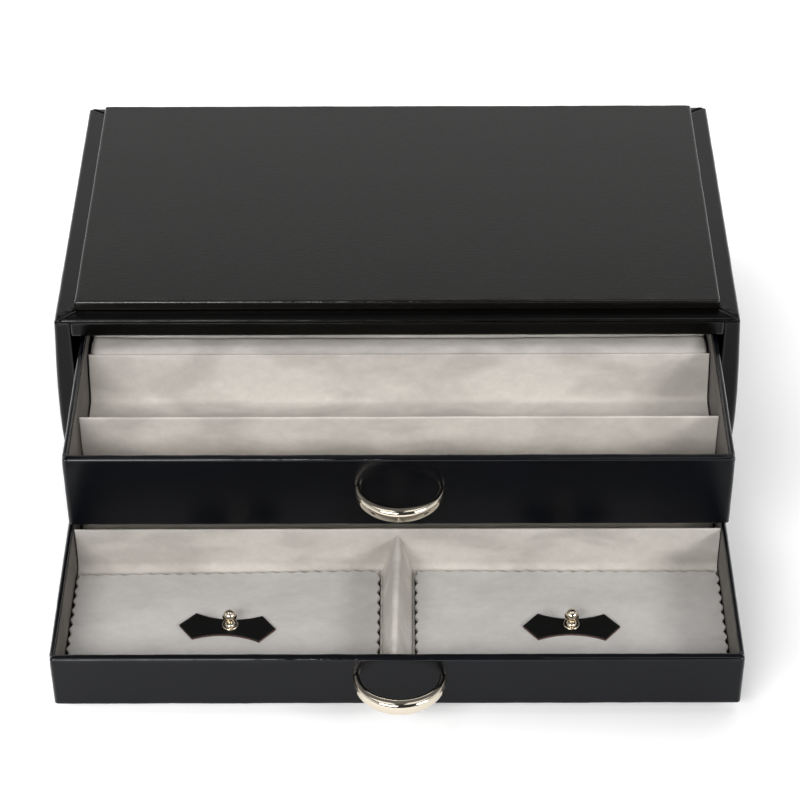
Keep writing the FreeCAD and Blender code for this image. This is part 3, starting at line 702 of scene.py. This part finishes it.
def suede_card(node, suede, body, seed):
    """Flat card covered in suede."""
    low, high = solid_box(node)
    thinnest = min(high - low)
    rounds = (both(min(LINING_ROUND, 0.4 * thinnest)),) * 3
    points, outward, edge_distances, faces = rounded_box(low, high, rounds, CARD_STEPS)
    for index, point in enumerate(points):
        loose = min(1.0, edge_distances[index] / CARD_BOW_RUN)
        points[index] = point + outward[index] * CARD_BOW * loose * wave(point, CARD_BOW_LENGTH, seed)
    card = make_piece(node + "_suede", points, faces, [suede], body)
    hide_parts(node)


# ---------------------------------------------------------------- suede inserts
def arc(centre, radius, start, end, count):
    """Points (y, z) on an arc, angles in degrees."""
    points = []
    for index in range(count + 1):
        angle = math.radians(start + (end - start) * index / count)
        points.append((centre[0] + radius * math.cos(angle), centre[1] + radius * math.sin(angle)))
    return points


def spread_points(points, step):
    """The same open run with points no further apart than step."""
    spread = []
    for start, end in zip(points, points[1:]):
        count = max(1, math.ceil(math.dist(start, end) / step))
        for index in range(count):
            share = index / count
            spread.append((start[0] + (end[0] - start[0]) * share,
                           start[1] + (end[1] - start[1]) * share))
    spread.append(points[-1])
    return spread


def insert_outline(front, foot, rear, thickness, floor_bottom, floor_top, top, cove):
    """Outline (y, z) of a partition that curves into a floor in front of it.

    foot is where its front face meets the floor, rear is its rear face.
    """
    round_top = PARTITION_TOP_ROUND
    half = thickness / 2
    crown = rear - half
    lean = math.atan2(rear - thickness - foot, top - floor_top)
    run = [(front, floor_bottom), (rear, floor_bottom), (rear, top - round_top)]
    crest = arc((crown, top - round_top), 1.0, 0, 180, 8)
    run += [(crown + (y - crown) * half, top - round_top + (z - top + round_top) * round_top)
            for y, z in crest]
    # The cove touches the floor and the leaning face.
    reach = cove * math.tan((math.pi / 2 - lean) / 2)
    run += arc((foot - reach, floor_top + cove), cove, -math.degrees(lean), -90, 10)
    run += [(front, floor_top)]
    return spread_points(run + [run[0]], 2.0)[:-1]


def swept_solid(outline, stations, place):
    """Points and faces of a closed solid: the outline repeated at each station."""
    points = [place(u, v, station) for station in stations for u, v in outline]
    count = len(outline)
    faces = []
    for ring in range(len(stations) - 1):
        for index in range(count):
            following = (index + 1) % count
            faces.append((ring * count + index, ring * count + following,
                          (ring + 1) * count + following, (ring + 1) * count + index))
    faces.append(tuple(range(count - 1, -1, -1)))
    faces.append(tuple(range((len(stations) - 1) * count, len(stations) * count)))
    return points, faces


_, LEFT_PAD_INNER_EDGE = solid_box("left_cover_pad")
RIGHT_PAD_INNER_EDGE, _ = solid_box("right_cover_pad")


def in_pad_gap_shade(corners, floor_top):
    """Whether a face of the lower insert is floor under a pad, clear of the divider's foot: such faces
    get the dark board as painted shade.
    """
    under_a_pad = (max(corner.x for corner in corners) < LEFT_PAD_INNER_EDGE.x + PAD_EDGE_TOLERANCE
                   or min(corner.x for corner in corners) > RIGHT_PAD_INNER_EDGE.x - PAD_EDGE_TOLERANCE)
    before_rear = max(corner.y for corner in corners) < LEFT_PAD_INNER_EDGE.y - SHADE_SHORT_OF_REAR
    return under_a_pad and before_rear and max(corner.z for corner in corners) < floor_top + SHADE_FACE_RISE


def suede_insert(name, partition_node, floor_node, front, cove, body, seed, nodes, under_pads=False):
    """Partition and the floor in front of it, covered by one piece of suede.

    Under the pads the floor is drawn in the dark facing board as painted shade, the shade of a deep
    gap, which shows in the notches of their edges.
    """
    low, high = solid_box(partition_node)
    floor_low, floor_high = solid_box(floor_node)
    outline = insert_outline(front, low.y, high.y, PARTITION_THICKNESS, floor_low.z, floor_high.z,
                             high.z, cove)
    stations = grid_lines(low.x, high.x, *INSERT_STEPS)
    if under_pads:
        stations = sorted(stations + [LEFT_PAD_INNER_EDGE.x, RIGHT_PAD_INNER_EDGE.x])

    def place(y, z, x):
        above = min(1.0, max(0.0, (z - floor_high.z) / SUEDE_RIPPLE_RISE))
        from_front = min(1.0, max(0.0, (y - front) / SUEDE_RIPPLE_RUN))
        free = max(above, SUEDE_LOOSE_ON_FLOOR) * from_front
        ripple = SUEDE_RIPPLE * wave((x, y, z), SUEDE_RIPPLE_LENGTH, seed) * free
        on_face = y < high.y - 0.01 and z > floor_low.z + 0.01
        tilt = 1.0 if z > floor_high.z + cove else SUEDE_FLOOR_TILT
        if not on_face:
            ripple = 0.0
        return Vector((x, y - ripple * tilt, z + ripple * (1.0 - tilt)))

    points, faces = swept_solid(outline, stations, place)
    # Floor faces under the pads get the dark board as painted shade.
    gap_shade_slots = [int(under_pads and in_pad_gap_shade([points[corner] for corner in face], floor_high.z))
            for face in faces]
    insert = make_piece(name, points, faces, [LINING_SUEDE, BOARD_AND_PAD_GAP_SHADE], body,
                        face_slots=gap_shade_slots)
    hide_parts(*nodes)


def upper_inserts():
    """Two partitions with their floors."""
    front_low, _ = solid_box("upper_front_floor_lining")
    _, middle_front = solid_box("upper_front_partition")
    suede_insert("upper_front_insert_suede", "upper_front_partition", "upper_front_floor_lining",
                 front_low.y, UPPER_FRONT_COVE_RADIUS, "upper_drawer", 21.0,
                 ("upper_front_partition", "upper_front_floor_lining"))
    suede_insert("upper_middle_insert_suede", "upper_rear_partition", "upper_middle_floor_lining",
                 middle_front.y + INSERT_CLEARANCE, UPPER_COVE_RADIUS, "upper_drawer", 22.0,
                 ("upper_rear_partition", "upper_middle_floor_lining"))


def lower_insert():
    """Cross partition with the floor under the pads."""
    floor_low, _ = solid_box("lower_floor_lining")
    suede_insert("lower_insert_suede", "lower_cross_partition", "lower_floor_lining",
                 floor_low.y, LOWER_COVE_RADIUS, "lower_drawer", 23.0,
                 ("lower_cross_partition", "lower_floor_lining"), under_pads=True)


def divider_outline(half_base, height, ridge):
    """Outline (x, z) of the divider: hollow flanks up to a rounded ridge."""
    shoulder = height - ridge
    flank = []
    for index in range(9):
        share = index / 8
        x = half_base + (ridge - half_base) * share
        hollow = DIVIDER_HOLLOW * math.sin(math.pi * share) + DIVIDER_FOOT_FLARE * (1 - share) ** 4
        flank.append((x - hollow * (1 - share * 0.3), shoulder * share))
    crest = arc((0.0, shoulder), ridge, 0, 180, 8)
    left = [(-x, z) for x, z in reversed(flank)]
    return flank + crest[1:-1] + left


def lower_divider():
    """Suede-covered ridge between the two compartments, leaning a little at the front."""
    low, high = solid_box("lower_centre_divider")
    outline = spread_points(divider_outline(high.x, high.z - low.z, DIVIDER_RIDGE), 1.2)
    stations = grid_lines(low.y, high.y, *DIVIDER_STEPS)

    def place(x, z, y):
        towards_front = (high.y - y) / (high.y - low.y)
        up = z / (high.z - low.z)
        ripple = DIVIDER_RIPPLE * wave((x, y, z), DIVIDER_RIPPLE_LENGTH, 31.0)
        lean = DIVIDER_LEAN * towards_front * up
        across = x * (1.0 + 0.02 * ripple) - lean + ripple * up
        return Vector((across, y, low.z + z + 0.4 * ripple * up))

    points, faces = swept_solid(outline, stations, place)
    faces = [face[::-1] for face in faces]
    divider = make_piece("lower_centre_divider_suede", points, faces, [LINING_SUEDE],
                         "lower_drawer")
    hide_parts("lower_centre_divider")


# ---------------------------------------------------------------- cufflink rolls
def roll_form(length, width, height):
    """Plain form of one roll, from the origin: flat below, softly crowned, rounded at its ends."""
    half = width / 2
    shoulder = height - ROLL_SHOULDER
    outline = [(-half, 0.0), (half, 0.0)]
    for index in range(17):
        angle = math.pi * index / 16
        outline.append((half * squared(math.cos(angle), ROLL_SQUARENESS),
                        shoulder + ROLL_SHOULDER * squared(math.sin(angle), ROLL_SQUARENESS)))
    outline = spread_points(outline + [outline[0]], 1.0)[:-1]
    stations = grid_lines(0.0, length, *ROLL_STEPS)

    def place(u, v, x):
        inside = min(1.0, min(x, length - x) / ROLL_END_ROUND)
        short = ROLL_END_ROUND * (1.0 - math.sqrt(1.0 - (1.0 - inside) ** 2))
        return Vector((x, u * (1.0 - 0.5 * short / half), v * (1.0 - short / height)))

    return swept_solid(outline, stations, place)


def inflate(piece):
    """Cloth pass: the suede swells a little over its foam, no further than the limit."""
    start = piece.data
    remesh = piece.modifiers.new("even_mesh", "REMESH")
    remesh.mode = "VOXEL"
    remesh.voxel_size = ROLL_VOXEL * MM
    bpy.context.view_layer.update()
    graph = bpy.context.evaluated_depsgraph_get()
    even = bpy.data.meshes.new_from_object(piece.evaluated_get(graph))
    piece.modifiers.clear()
    piece.data = even
    cloth = piece.modifiers.new("suede", "CLOTH")
    cloth.settings.quality = 4
    cloth.settings.mass = 0.15
    cloth.settings.use_pressure = True
    cloth.settings.uniform_pressure_force = ROLL_PRESSURE
    cloth.settings.tension_stiffness = 12
    cloth.settings.compression_stiffness = 12
    cloth.settings.bending_stiffness = 0.4
    cloth.settings.effector_weights.gravity = 0.0
    cloth.point_cache.frame_end = ROLL_SIM_FRAMES
    for number in range(1, ROLL_SIM_FRAMES + 1):
        bpy.context.scene.frame_set(number)
    graph = bpy.context.evaluated_depsgraph_get()
    swollen = bpy.data.meshes.new_from_object(piece.evaluated_get(graph))
    piece.modifiers.clear()
    bpy.context.scene.frame_set(1)
    for before, after in zip(even.vertices, swollen.vertices):
        move = after.co - before.co
        limit = ROLL_MOVE_LIMIT * MM
        if move.length > limit:
            move *= limit / move.length
        before.co = before.co + move
    bpy.data.meshes.remove(swollen)
    bpy.data.meshes.remove(start)


def cufflink_rolls(prefix, count, suede, body, seed):
    """Rolls from one simulated form, each turned or flipped so that no two look alike."""
    first_low, first_high = solid_box(prefix + "_cufflink_roll_1")
    size = first_high - first_low
    inset = ROLL_START_INSET
    points, faces = roll_form(size.x - 2 * inset, size.y - 2 * inset, size.z - inset)
    form = make_piece(prefix + "_roll_form", points, [face[::-1] for face in faces], [suede],
                      body)
    inflate(form)
    base = [vertex.co / MM for vertex in form.data.vertices]
    polygons = [tuple(polygon.vertices) for polygon in form.data.polygons]
    bpy.data.objects.remove(form)
    for number in range(1, count + 1):
        node = prefix + "_cufflink_roll_" + str(number)
        low, high = solid_box(node)
        middle = (low.y + high.y) / 2
        flip = number % 2 == 0
        placed = []
        for point in base:
            x = high.x - inset - point.x if flip else low.x + inset + point.x
            y = middle - point.y if flip else middle + point.y
            z = low.z + point.z
            lift = ROLL_LIFT * wave((x, y, z), ROLL_LIFT_LENGTH, seed + number)
            lift *= min(1.0, point.z / ROLL_LIFT_RUN)
            sway = ROLL_SWAY * wave((x, y, z), ROLL_SWAY_LENGTH, seed - number)
            placed.append(Vector((min(max(x, low.x), high.x), min(max(y + sway, low.y), high.y),
                                  min(max(z + lift, low.z), high.z + ROLL_SPARE_HEIGHT))))
        roll = make_piece(node + "_suede", placed, polygons, [suede], body)
        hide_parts(node)


# ---------------------------------------------------------------- cover pads
def pinked(distance):
    """Depth of the zigzag cut at a distance along an edge, from 0 at a tip to 1 in a notch."""
    turn = 2 * math.pi * (distance / PINK_PITCH + 0.25)
    swing = math.asin(PINK_SHARPNESS * math.sin(turn))
    return 0.5 - swing / math.pi


def cover_pad(side):
    """Pad of two suedes glued flesh to flesh, its edges cut with pinking shears."""
    node = side + "_cover_pad"
    low, high = solid_box(node)
    skew = LEFT_PAD_SKEW if side == "left" else RIGHT_PAD_SKEW
    step = PINK_PITCH / 8
    rounds = (both(PAD_ROUND),) * 3
    steps = ((step, 0.45, step), (step, 0.45, step), (0.25, 0.5, 0.5))
    points, _, _, faces = rounded_box(low, high, rounds, steps)
    seed = 41.0 if side == "left" else 47.0
    for index, point in enumerate(points):
        from_left, from_right = point.x - low.x, high.x - point.x
        from_front, from_rear = point.y - low.y, high.y - point.y
        push_x = PINK_DEPTH * pinked(from_front) * (max(0.0, 1 - from_left / PINK_FADE)
                                                    - max(0.0, 1 - from_right / PINK_FADE))
        push_y = PINK_DEPTH * pinked(from_left) * (max(0.0, 1 - from_front / PINK_FADE)
                                                   - max(0.0, 1 - from_rear / PINK_FADE))
        share = from_left / (high.x - low.x)
        lag = max(skew, 0.0) * (1 - share) + max(-skew, 0.0) * share + PAD_REAR_DRAW
        push_y -= lag * from_front / (high.y - low.y)
        curl = PAD_CURL * near(min(from_left, from_right, from_rear), PAD_CURL_REACH)
        curl *= 0.5 + wave(point, PAD_CURL_LENGTH, seed)
        lift = PAD_WAVE * wave(point, PAD_WAVE_LENGTH, seed) + max(0.0, curl)
        points[index] = point + Vector((push_x, push_y, max(lift, -PAD_SINK_LIMIT)))
    pad = make_piece(node + "_suede", points, faces, [PAD_SUEDE], side + "_pad")
    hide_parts(node)


# ---------------------------------------------------------------- patches and studs
def patch_outline():
    """Outline (x, y) of a patch: pointed ends, hollow long sides."""
    half = PATCH_LENGTH / 2
    shoulder = half - PATCH_POINT_LENGTH
    end = PATCH_END_WIDTH / 2
    waist = PATCH_WAIST_WIDTH / 2
    sagitta = end - waist
    radius = (shoulder ** 2 + sagitta ** 2) / (2 * sagitta)
    hollow = []
    for index in range(25):
        x = shoulder - 2 * shoulder * index / 24
        hollow.append((x, waist + radius - math.sqrt(radius ** 2 - x ** 2)))
    run = [(half, 0.0)] + hollow + [(-half, 0.0)] + [(-x, -y) for x, y in hollow] + [(half, 0.0)]
    return spread_points(run, 0.8)[:-1]


def pad_patch(side):
    """Leather patch, black on top, raw and brown on its cut edge."""
    node = side + "_pad_patch"
    low, high = solid_box(node)
    centre = (low + high) / 2
    turn = Matrix.Rotation(math.radians(PATCH_TURNS[side]), 3, "Z")
    outline = patch_outline()
    thickness = high.z - low.z
    # Share of the patch's width and height over its underside, ring by ring.
    rings = ((1.0, 0.0), (1.0, thickness - PATCH_EDGE_ROUND),
             (1.0 - 0.35 * PATCH_EDGE_SHARE, thickness - 0.3 * PATCH_EDGE_ROUND),
             (1.0 - PATCH_EDGE_SHARE, thickness), (0.93, thickness + 0.03),
             (0.8, thickness + 0.05))
    points, faces, slots = [], [], []
    for scale, height in rings:
        for x, y in outline:
            curl = PATCH_CURL * (abs(x) / (PATCH_LENGTH / 2)) ** PATCH_CURL_POWER
            along = 1 + (scale - 1) * PATCH_END_TAPER
            place = turn @ Vector((x * along, y * scale, 0.0))
            points.append(Vector((centre.x, centre.y, low.z)) + place + Vector((0, 0, height + curl)))
    count = len(outline)
    for ring in range(len(rings) - 1):
        for index in range(count):
            following = (index + 1) % count
            faces.append((ring * count + index, ring * count + following,
                          (ring + 1) * count + following, (ring + 1) * count + index))
            slots.append(1 if ring == 0 else 0)
    faces.append(tuple(range(count - 1, -1, -1)))
    faces.append(tuple(range((len(rings) - 1) * count, len(rings) * count)))
    slots += [1, 0]
    patch = make_piece(node + "_leather", points, faces, [PATCH_LEATHER, CUT_EDGE],
                       side + "_pad", face_slots=slots)
    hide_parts(node)


def lathe(profile, centre, count):
    """Points and faces of a closed turned shape. profile is (radius, height), axis to axis."""
    points = [Vector((centre.x, centre.y, profile[0][1]))]
    for radius, height in profile[1:-1]:
        for index in range(count):
            angle = 2 * math.pi * index / count
            points.append(Vector((centre.x + radius * math.cos(angle),
                                  centre.y + radius * math.sin(angle), height)))
    points.append(Vector((centre.x, centre.y, profile[-1][1])))
    faces = []
    rings = len(profile) - 2
    for index in range(count):
        following = (index + 1) % count
        faces.append((0, 1 + following, 1 + index))
        for ring in range(rings - 1):
            start = 1 + ring * count
            faces.append((start + index, start + following, start + count + following,
                          start + count + index))
        start = 1 + (rings - 1) * count
        faces.append((start + index, start + following, len(points) - 1))
    return points, faces


def stud_profile(low, high):
    """Half outline of a stud, as (radius, height) in mm from the axis at the bottom to the top.

    Flange with a bead, hollow neck, flared cup and a slightly flat ball.
    """
    bottom, top = low.z, high.z
    flange = (high.x - low.x) / 2
    ball_half_height = STUD_BALL_FLATNESS * STUD_BALL_RADIUS
    ball_centre = top - ball_half_height
    cup_top = ball_centre - STUD_CUP_DROP
    profile = [(0.0, bottom), (flange - 0.25, bottom), (flange - 0.05, bottom + 0.1),
               (flange, bottom + 0.32), (flange - 0.12, bottom + 0.58), (flange - 0.4, bottom + 0.68),
               (flange - 0.7, bottom + 0.6), (flange - 1.0, bottom + 0.55), (1.5, bottom + 0.8),
               (1.2, bottom + 1.15), (1.05, bottom + 1.7), (1.05, bottom + 2.2),
               (1.2, cup_top - 1.3), (1.6, cup_top - 0.9), (2.3, cup_top - 0.25),
               (2.6, cup_top), (2.65, cup_top + 0.1), (2.55, cup_top + 0.14), (2.2, cup_top - 0.2),
               (1.75, cup_top - STUD_CUP_THROAT)]
    start = math.asin((cup_top - STUD_CUP_THROAT - ball_centre) / ball_half_height)
    for index in range(1, 19):
        angle = start + (math.pi / 2 - start) * index / 18
        profile.append((max(0.0, STUD_BALL_RADIUS * math.cos(angle)),
                        ball_centre + ball_half_height * math.sin(angle)))
    profile[-1] = (0.0, top)
    return profile


def pad_stud(side):
    """Turned and plated ball stud."""
    node = side + "_pad_stud"
    low, high = solid_box(node)
    points, faces = lathe(stud_profile(low, high), (low + high) / 2, 48)
    stud = make_piece(node + "_plated", points, faces, [STUD_PLATE], side + "_pad")
    bend = stud.modifiers.new("finer", "SUBSURF")
    bend.levels = 1
    bend.render_levels = 1
    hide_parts(node)


# ---------------------------------------------------------------- handles
def ring_section(count):
    """Points (u, v) around a rounded square from -1 to 1, evenly spaced along its line."""
    fine_count = 60 * count
    fine = []
    for index in range(fine_count + 1):
        angle = 2 * math.pi * index / fine_count
        fine.append((squared(math.cos(angle), HANDLE_SQUARENESS),
                     squared(math.sin(angle), HANDLE_SQUARENESS)))
    total = sum(math.dist(start, end) for start, end in zip(fine, fine[1:]))
    section = []
    gone = 0.0
    for start, end in zip(fine, fine[1:]):
        if len(section) < count and gone >= total * len(section) / count - 1e-9:
            section.append(start)
        gone += math.dist(start, end)
    return section


def ring_handle(prefix, body):
    """Cast half ring, full in the middle and slim at both ends."""
    node = prefix + "_handle"
    low, high = solid_box(node)
    middle = Vector(((low.x + high.x) / 2, high.y, (low.z + high.z) / 2))
    around, along = HANDLE_POINTS_AROUND, HANDLE_STATIONS
    section = ring_section(around)
    points = []
    for station in range(along + 1):
        turn = math.pi * station / along
        fullness = math.sin(turn)
        half_thickness = HANDLE_END_HALF + (HANDLE_MIDDLE_HALF_THICKNESS - HANDLE_END_HALF) * fullness
        half_height = HANDLE_END_HALF + (HANDLE_MIDDLE_HALF_HEIGHT - HANDLE_END_HALF) * fullness
        centre = middle + Vector((HANDLE_HALF_SPAN * math.cos(turn), -HANDLE_REACH * math.sin(turn), 0))
        outwards = Vector((HANDLE_REACH * math.cos(turn), -HANDLE_HALF_SPAN * math.sin(turn), 0))
        outwards.normalize()
        for u, v in section:
            points.append(centre + outwards * half_thickness * u + Vector((0, 0, half_height * v)))
    faces = []
    for station in range(along):
        for step in range(around):
            following = (step + 1) % around
            faces.append((station * around + step, (station + 1) * around + step,
                          (station + 1) * around + following, station * around + following))
    faces.append(tuple(range(around)))
    faces.append(tuple(range((along + 1) * around - 1, along * around - 1, -1)))
    handle = make_piece(node + "_plated", points, faces, [HANDLE_PLATE], body)
    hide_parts(node)


# ---------------------------------------------------------------- solids that stay
def dress_solids():
    """Finish on the solids whose own shape is shown."""
    finishes = {"base_felt": BASE_FELT,
                "upper_bottom_board": BOARD_AND_PAD_GAP_SHADE, "lower_bottom_board": BOARD_AND_PAD_GAP_SHADE,
                "upper_roll_riser": RISER_BOARD, "lower_roll_riser": RISER_BOARD,
                "upper_middle_riser": RISER_BOARD,
                "upper_handle_screws": SCREW_STEEL, "lower_handle_screws": SCREW_STEEL,
                "left_pad_screw": SCREW_STEEL, "right_pad_screw": SCREW_STEEL}
    for node, material in finishes.items():
        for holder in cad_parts[node].material_slots:
            holder.material = material


# ---------------------------------------------------------------- stage, light and camera
def stage_floor():
    """Pale floor that keeps the box's shadow, with painted shade in front at the right where it is
    lifted less.
    """
    reach = FLOOR_REACH
    mesh = bpy.data.meshes.new("floor")
    mesh.from_pydata([(-reach, -reach, 0), (reach, -reach, 0), (reach, reach, 0), (-reach, reach, 0)],
                     [], [(0, 1, 2, 3)])
    floor = bpy.data.objects.new("floor", mesh)
    bpy.context.scene.collection.objects.link(floor)
    material = bpy.data.materials.new("floor_paper")
    material.use_nodes = True
    tree = material.node_tree
    shader = tree.nodes["Principled BSDF"]
    shader.inputs["Base Color"].default_value = linear("f4f4f4")
    shader.inputs["Roughness"].default_value = 0.9
    shader.inputs["Specular IOR Level"].default_value = 0.0
    path = add(tree, "ShaderNodeLightPath")
    shown = add(tree, "ShaderNodeMath", {"operation": "MAXIMUM"},
                {0: path.outputs["Is Camera Ray"], 1: path.outputs["Is Glossy Ray"]})
    # Painted light and shade on the floor: lifted most on the left and behind, least in front at the
    # right, where the smaller lift paints the floor darker as painted shade.
    place = add(tree, "ShaderNodeTexCoord").outputs["Object"]
    split = add(tree, "ShaderNodeSeparateXYZ", {}, {"Vector": place})
    on_left = add(tree, "ShaderNodeMapRange", {"From Min": FLOOR_FADE_X[0], "From Max": FLOOR_FADE_X[1],
                                               "To Min": 1.0, "To Max": 0.0},
                  {"Value": split.outputs["X"]})
    behind = add(tree, "ShaderNodeMapRange", {"From Min": FLOOR_FADE_Y[0], "From Max": FLOOR_FADE_Y[1]},
                 {"Value": split.outputs["Y"]})
    lift_share = add(tree, "ShaderNodeMath", {"operation": "MAXIMUM"},
                    {0: on_left.outputs[0], 1: behind.outputs[0]})
    lift = add(tree, "ShaderNodeMapRange", {"To Min": FLOOR_LIFT_LOW, "To Max": FLOOR_LIFT_HIGH},
               {"Value": lift_share.outputs[0]})
    lifted = add(tree, "ShaderNodeMath", {"operation": "MULTIPLY"},
                 {0: shown.outputs[0], 1: lift.outputs[0]})
    shader.inputs["Emission Color"].default_value = (1, 1, 1, 1)
    tree.links.new(lifted.outputs[0], shader.inputs["Emission Strength"])
    mesh.materials.append(material)


def soft_light(name, place, aim, width, depth, power):
    """White rectangular soft light that points at aim. Places in metres, power in watts."""
    data = bpy.data.lights.new(name, "AREA")
    data.shape = "RECTANGLE"
    data.size = width
    data.size_y = depth
    data.energy = power
    lamp = bpy.data.objects.new(name, data)
    bpy.context.scene.collection.objects.link(lamp)
    direction = Vector(aim) - Vector(place)
    lamp.location = place
    lamp.rotation_euler = direction.to_track_quat("-Z", "Y").to_euler()


# Two softboxes overhead with a gap between them, two in front, and a lit card behind the box
# that the flat tops mirror. Name, place in metres, aim, width, depth, power in watts.
SOFTBOXES = (
    ("overhead_left", (-0.47, -0.05, 1.50), (-0.47, -0.05, 0.00), 0.66, 1.0, 2.7),
    ("overhead_right", (0.47, -0.05, 1.50), (0.47, -0.05, 0.00), 0.66, 1.0, 2.3),
    ("front_left", (-0.52, -1.21, 0.90), (0.00, -0.10, 0.03), 0.90, 0.40, 15.6),
    ("front_right", (1.00, -0.94, 0.76), (0.00, -0.10, 0.03), 0.60, 0.36, 10.9),
    ("back_card", (0.00, 0.42, 0.24), (0.00, 0.00, 0.24), 1.80, 0.50, 3.0),
)

# Floor: half its size in metres, and how far it is lifted to white in front at the right, and
# on the left and behind; the smaller lift in front at the right is painted shade that darkens
# the floor there. It fades from one to the other between these places, in metres.
FLOOR_REACH = 6.0
FLOOR_LIFT_LOW = 0.04
FLOOR_LIFT_HIGH = 0.34
FLOOR_FADE_X = (-0.10, 0.13)
FLOOR_FADE_Y = (-0.15, 0.15)

# Room: how bright it is behind, in front and at the sides, as mirrored and as light, and the
# shares of a direction between which back and sides come in.
BACK_FADE = (-0.15, 0.35)
SIDES_FADE = (0.45, 0.85)
BACK_MIRRORED = 0.16
FRONT_MIRRORED = 0.04
SIDES_MIRRORED = 0.9
BACK_LIGHT = 0.65
FRONT_LIGHT = 0.0


def studio_world():
    """White sweep behind and a dark room in front, as mirrored; a plain white where seen itself."""
    world = bpy.data.worlds.new("studio")
    bpy.context.scene.world = world
    world.use_nodes = True
    tree = world.node_tree
    place = add(tree, "ShaderNodeTexCoord").outputs["Generated"]
    split = add(tree, "ShaderNodeSeparateXYZ", {}, {"Vector": place})
    path = add(tree, "ShaderNodeLightPath")
    levels = []
    for front, back in ((FRONT_LIGHT, BACK_LIGHT), (FRONT_MIRRORED, BACK_MIRRORED)):
        level = add(tree, "ShaderNodeMapRange", {"From Min": BACK_FADE[0], "From Max": BACK_FADE[1],
                                                 "To Min": front, "To Max": back},
                    {"Value": split.outputs["Y"]})
        levels.append(level.outputs[0])
    sideways = add(tree, "ShaderNodeMath", {"operation": "ABSOLUTE"}, {0: split.outputs["X"]})
    at_sides = add(tree, "ShaderNodeMapRange", {"From Min": SIDES_FADE[0], "From Max": SIDES_FADE[1],
                                                "To Min": 0.0, "To Max": SIDES_MIRRORED},
                   {"Value": sideways.outputs[0]})
    all_round = add(tree, "ShaderNodeMath", {"operation": "MAXIMUM"},
                    {0: levels[1], 1: at_sides.outputs[0]})
    mirrored = add(tree, "ShaderNodeMix", {"data_type": "FLOAT"},
                   {0: path.outputs["Is Glossy Ray"], 2: levels[0], 3: all_round.outputs[0]})
    strength = add(tree, "ShaderNodeMix", {"data_type": "FLOAT", 3: 1.0},
                   {0: path.outputs["Is Camera Ray"], 2: mirrored.outputs[0]})
    background = tree.nodes["Background"]
    background.inputs["Color"].default_value = (1.0, 1.0, 1.0, 1.0)
    tree.links.new(strength.outputs[0], background.inputs["Strength"])


def studio_lights():
    """Softboxes from the list."""
    for name, place, aim, width, depth, power in SOFTBOXES:
        soft_light(name, place, aim, width, depth, power)


def studio_camera():
    """Camera at a fixed place, turned by pitch, yaw and roll."""
    pitch = math.radians(CAMERA_PITCH)
    yaw = math.radians(CAMERA_YAW)
    roll = math.radians(CAMERA_ROLL)
    forward = Vector((math.sin(yaw) * math.cos(pitch), math.cos(yaw) * math.cos(pitch),
                      -math.sin(pitch)))
    level_right = Vector((math.cos(yaw), -math.sin(yaw), 0.0))
    level_up = level_right.cross(forward)
    right = math.cos(roll) * level_right + math.sin(roll) * level_up
    up = -math.sin(roll) * level_right + math.cos(roll) * level_up
    data = bpy.data.cameras.new("camera")
    data.sensor_width = SENSOR_WIDTH
    data.lens = CAMERA_FOCAL_PIXELS / FRAME_PIXELS * SENSOR_WIDTH
    data.clip_start = 0.01
    camera = bpy.data.objects.new("camera", data)
    bpy.context.scene.collection.objects.link(camera)
    turn = Matrix((right, up, -forward)).transposed().to_4x4()
    camera.matrix_world = Matrix.Translation(Vector(CAMERA_PLACE) * MM) @ turn
    bpy.context.scene.camera = camera


# ---------------------------------------------------------------- make everything
studio_camera()
case_walls()
case_top()
case_inner_boards()
case_panel()
for prefix, body, suede, seed in (("upper", "upper_drawer", ROLL_SUEDE, 50.0),
                                  ("lower", "lower_drawer", SHADED_ROLL_SUEDE, 60.0)):
    drawer_walls(prefix, body, seed)
    for part, lining in (("_left_lining", SHADED_SIDE_SUEDE), ("_right_lining", SHADED_SIDE_SUEDE),
                         ("_front_lining", LINING_SUEDE)):
        suede_card(prefix + part, lining, body, seed + 5)
    cufflink_rolls(prefix, ROLLS_IN_A_DRAWER, suede, body, seed)
    ring_handle(prefix, body)
upper_inserts()
lower_insert()
lower_divider()
for side in ("left", "right"):
    cover_pad(side)
    pad_patch(side)
    pad_stud(side)
dress_solids()
stage_floor()
studio_world()
studio_lights()

bpy.context.scene.view_settings.view_transform = "Standard"
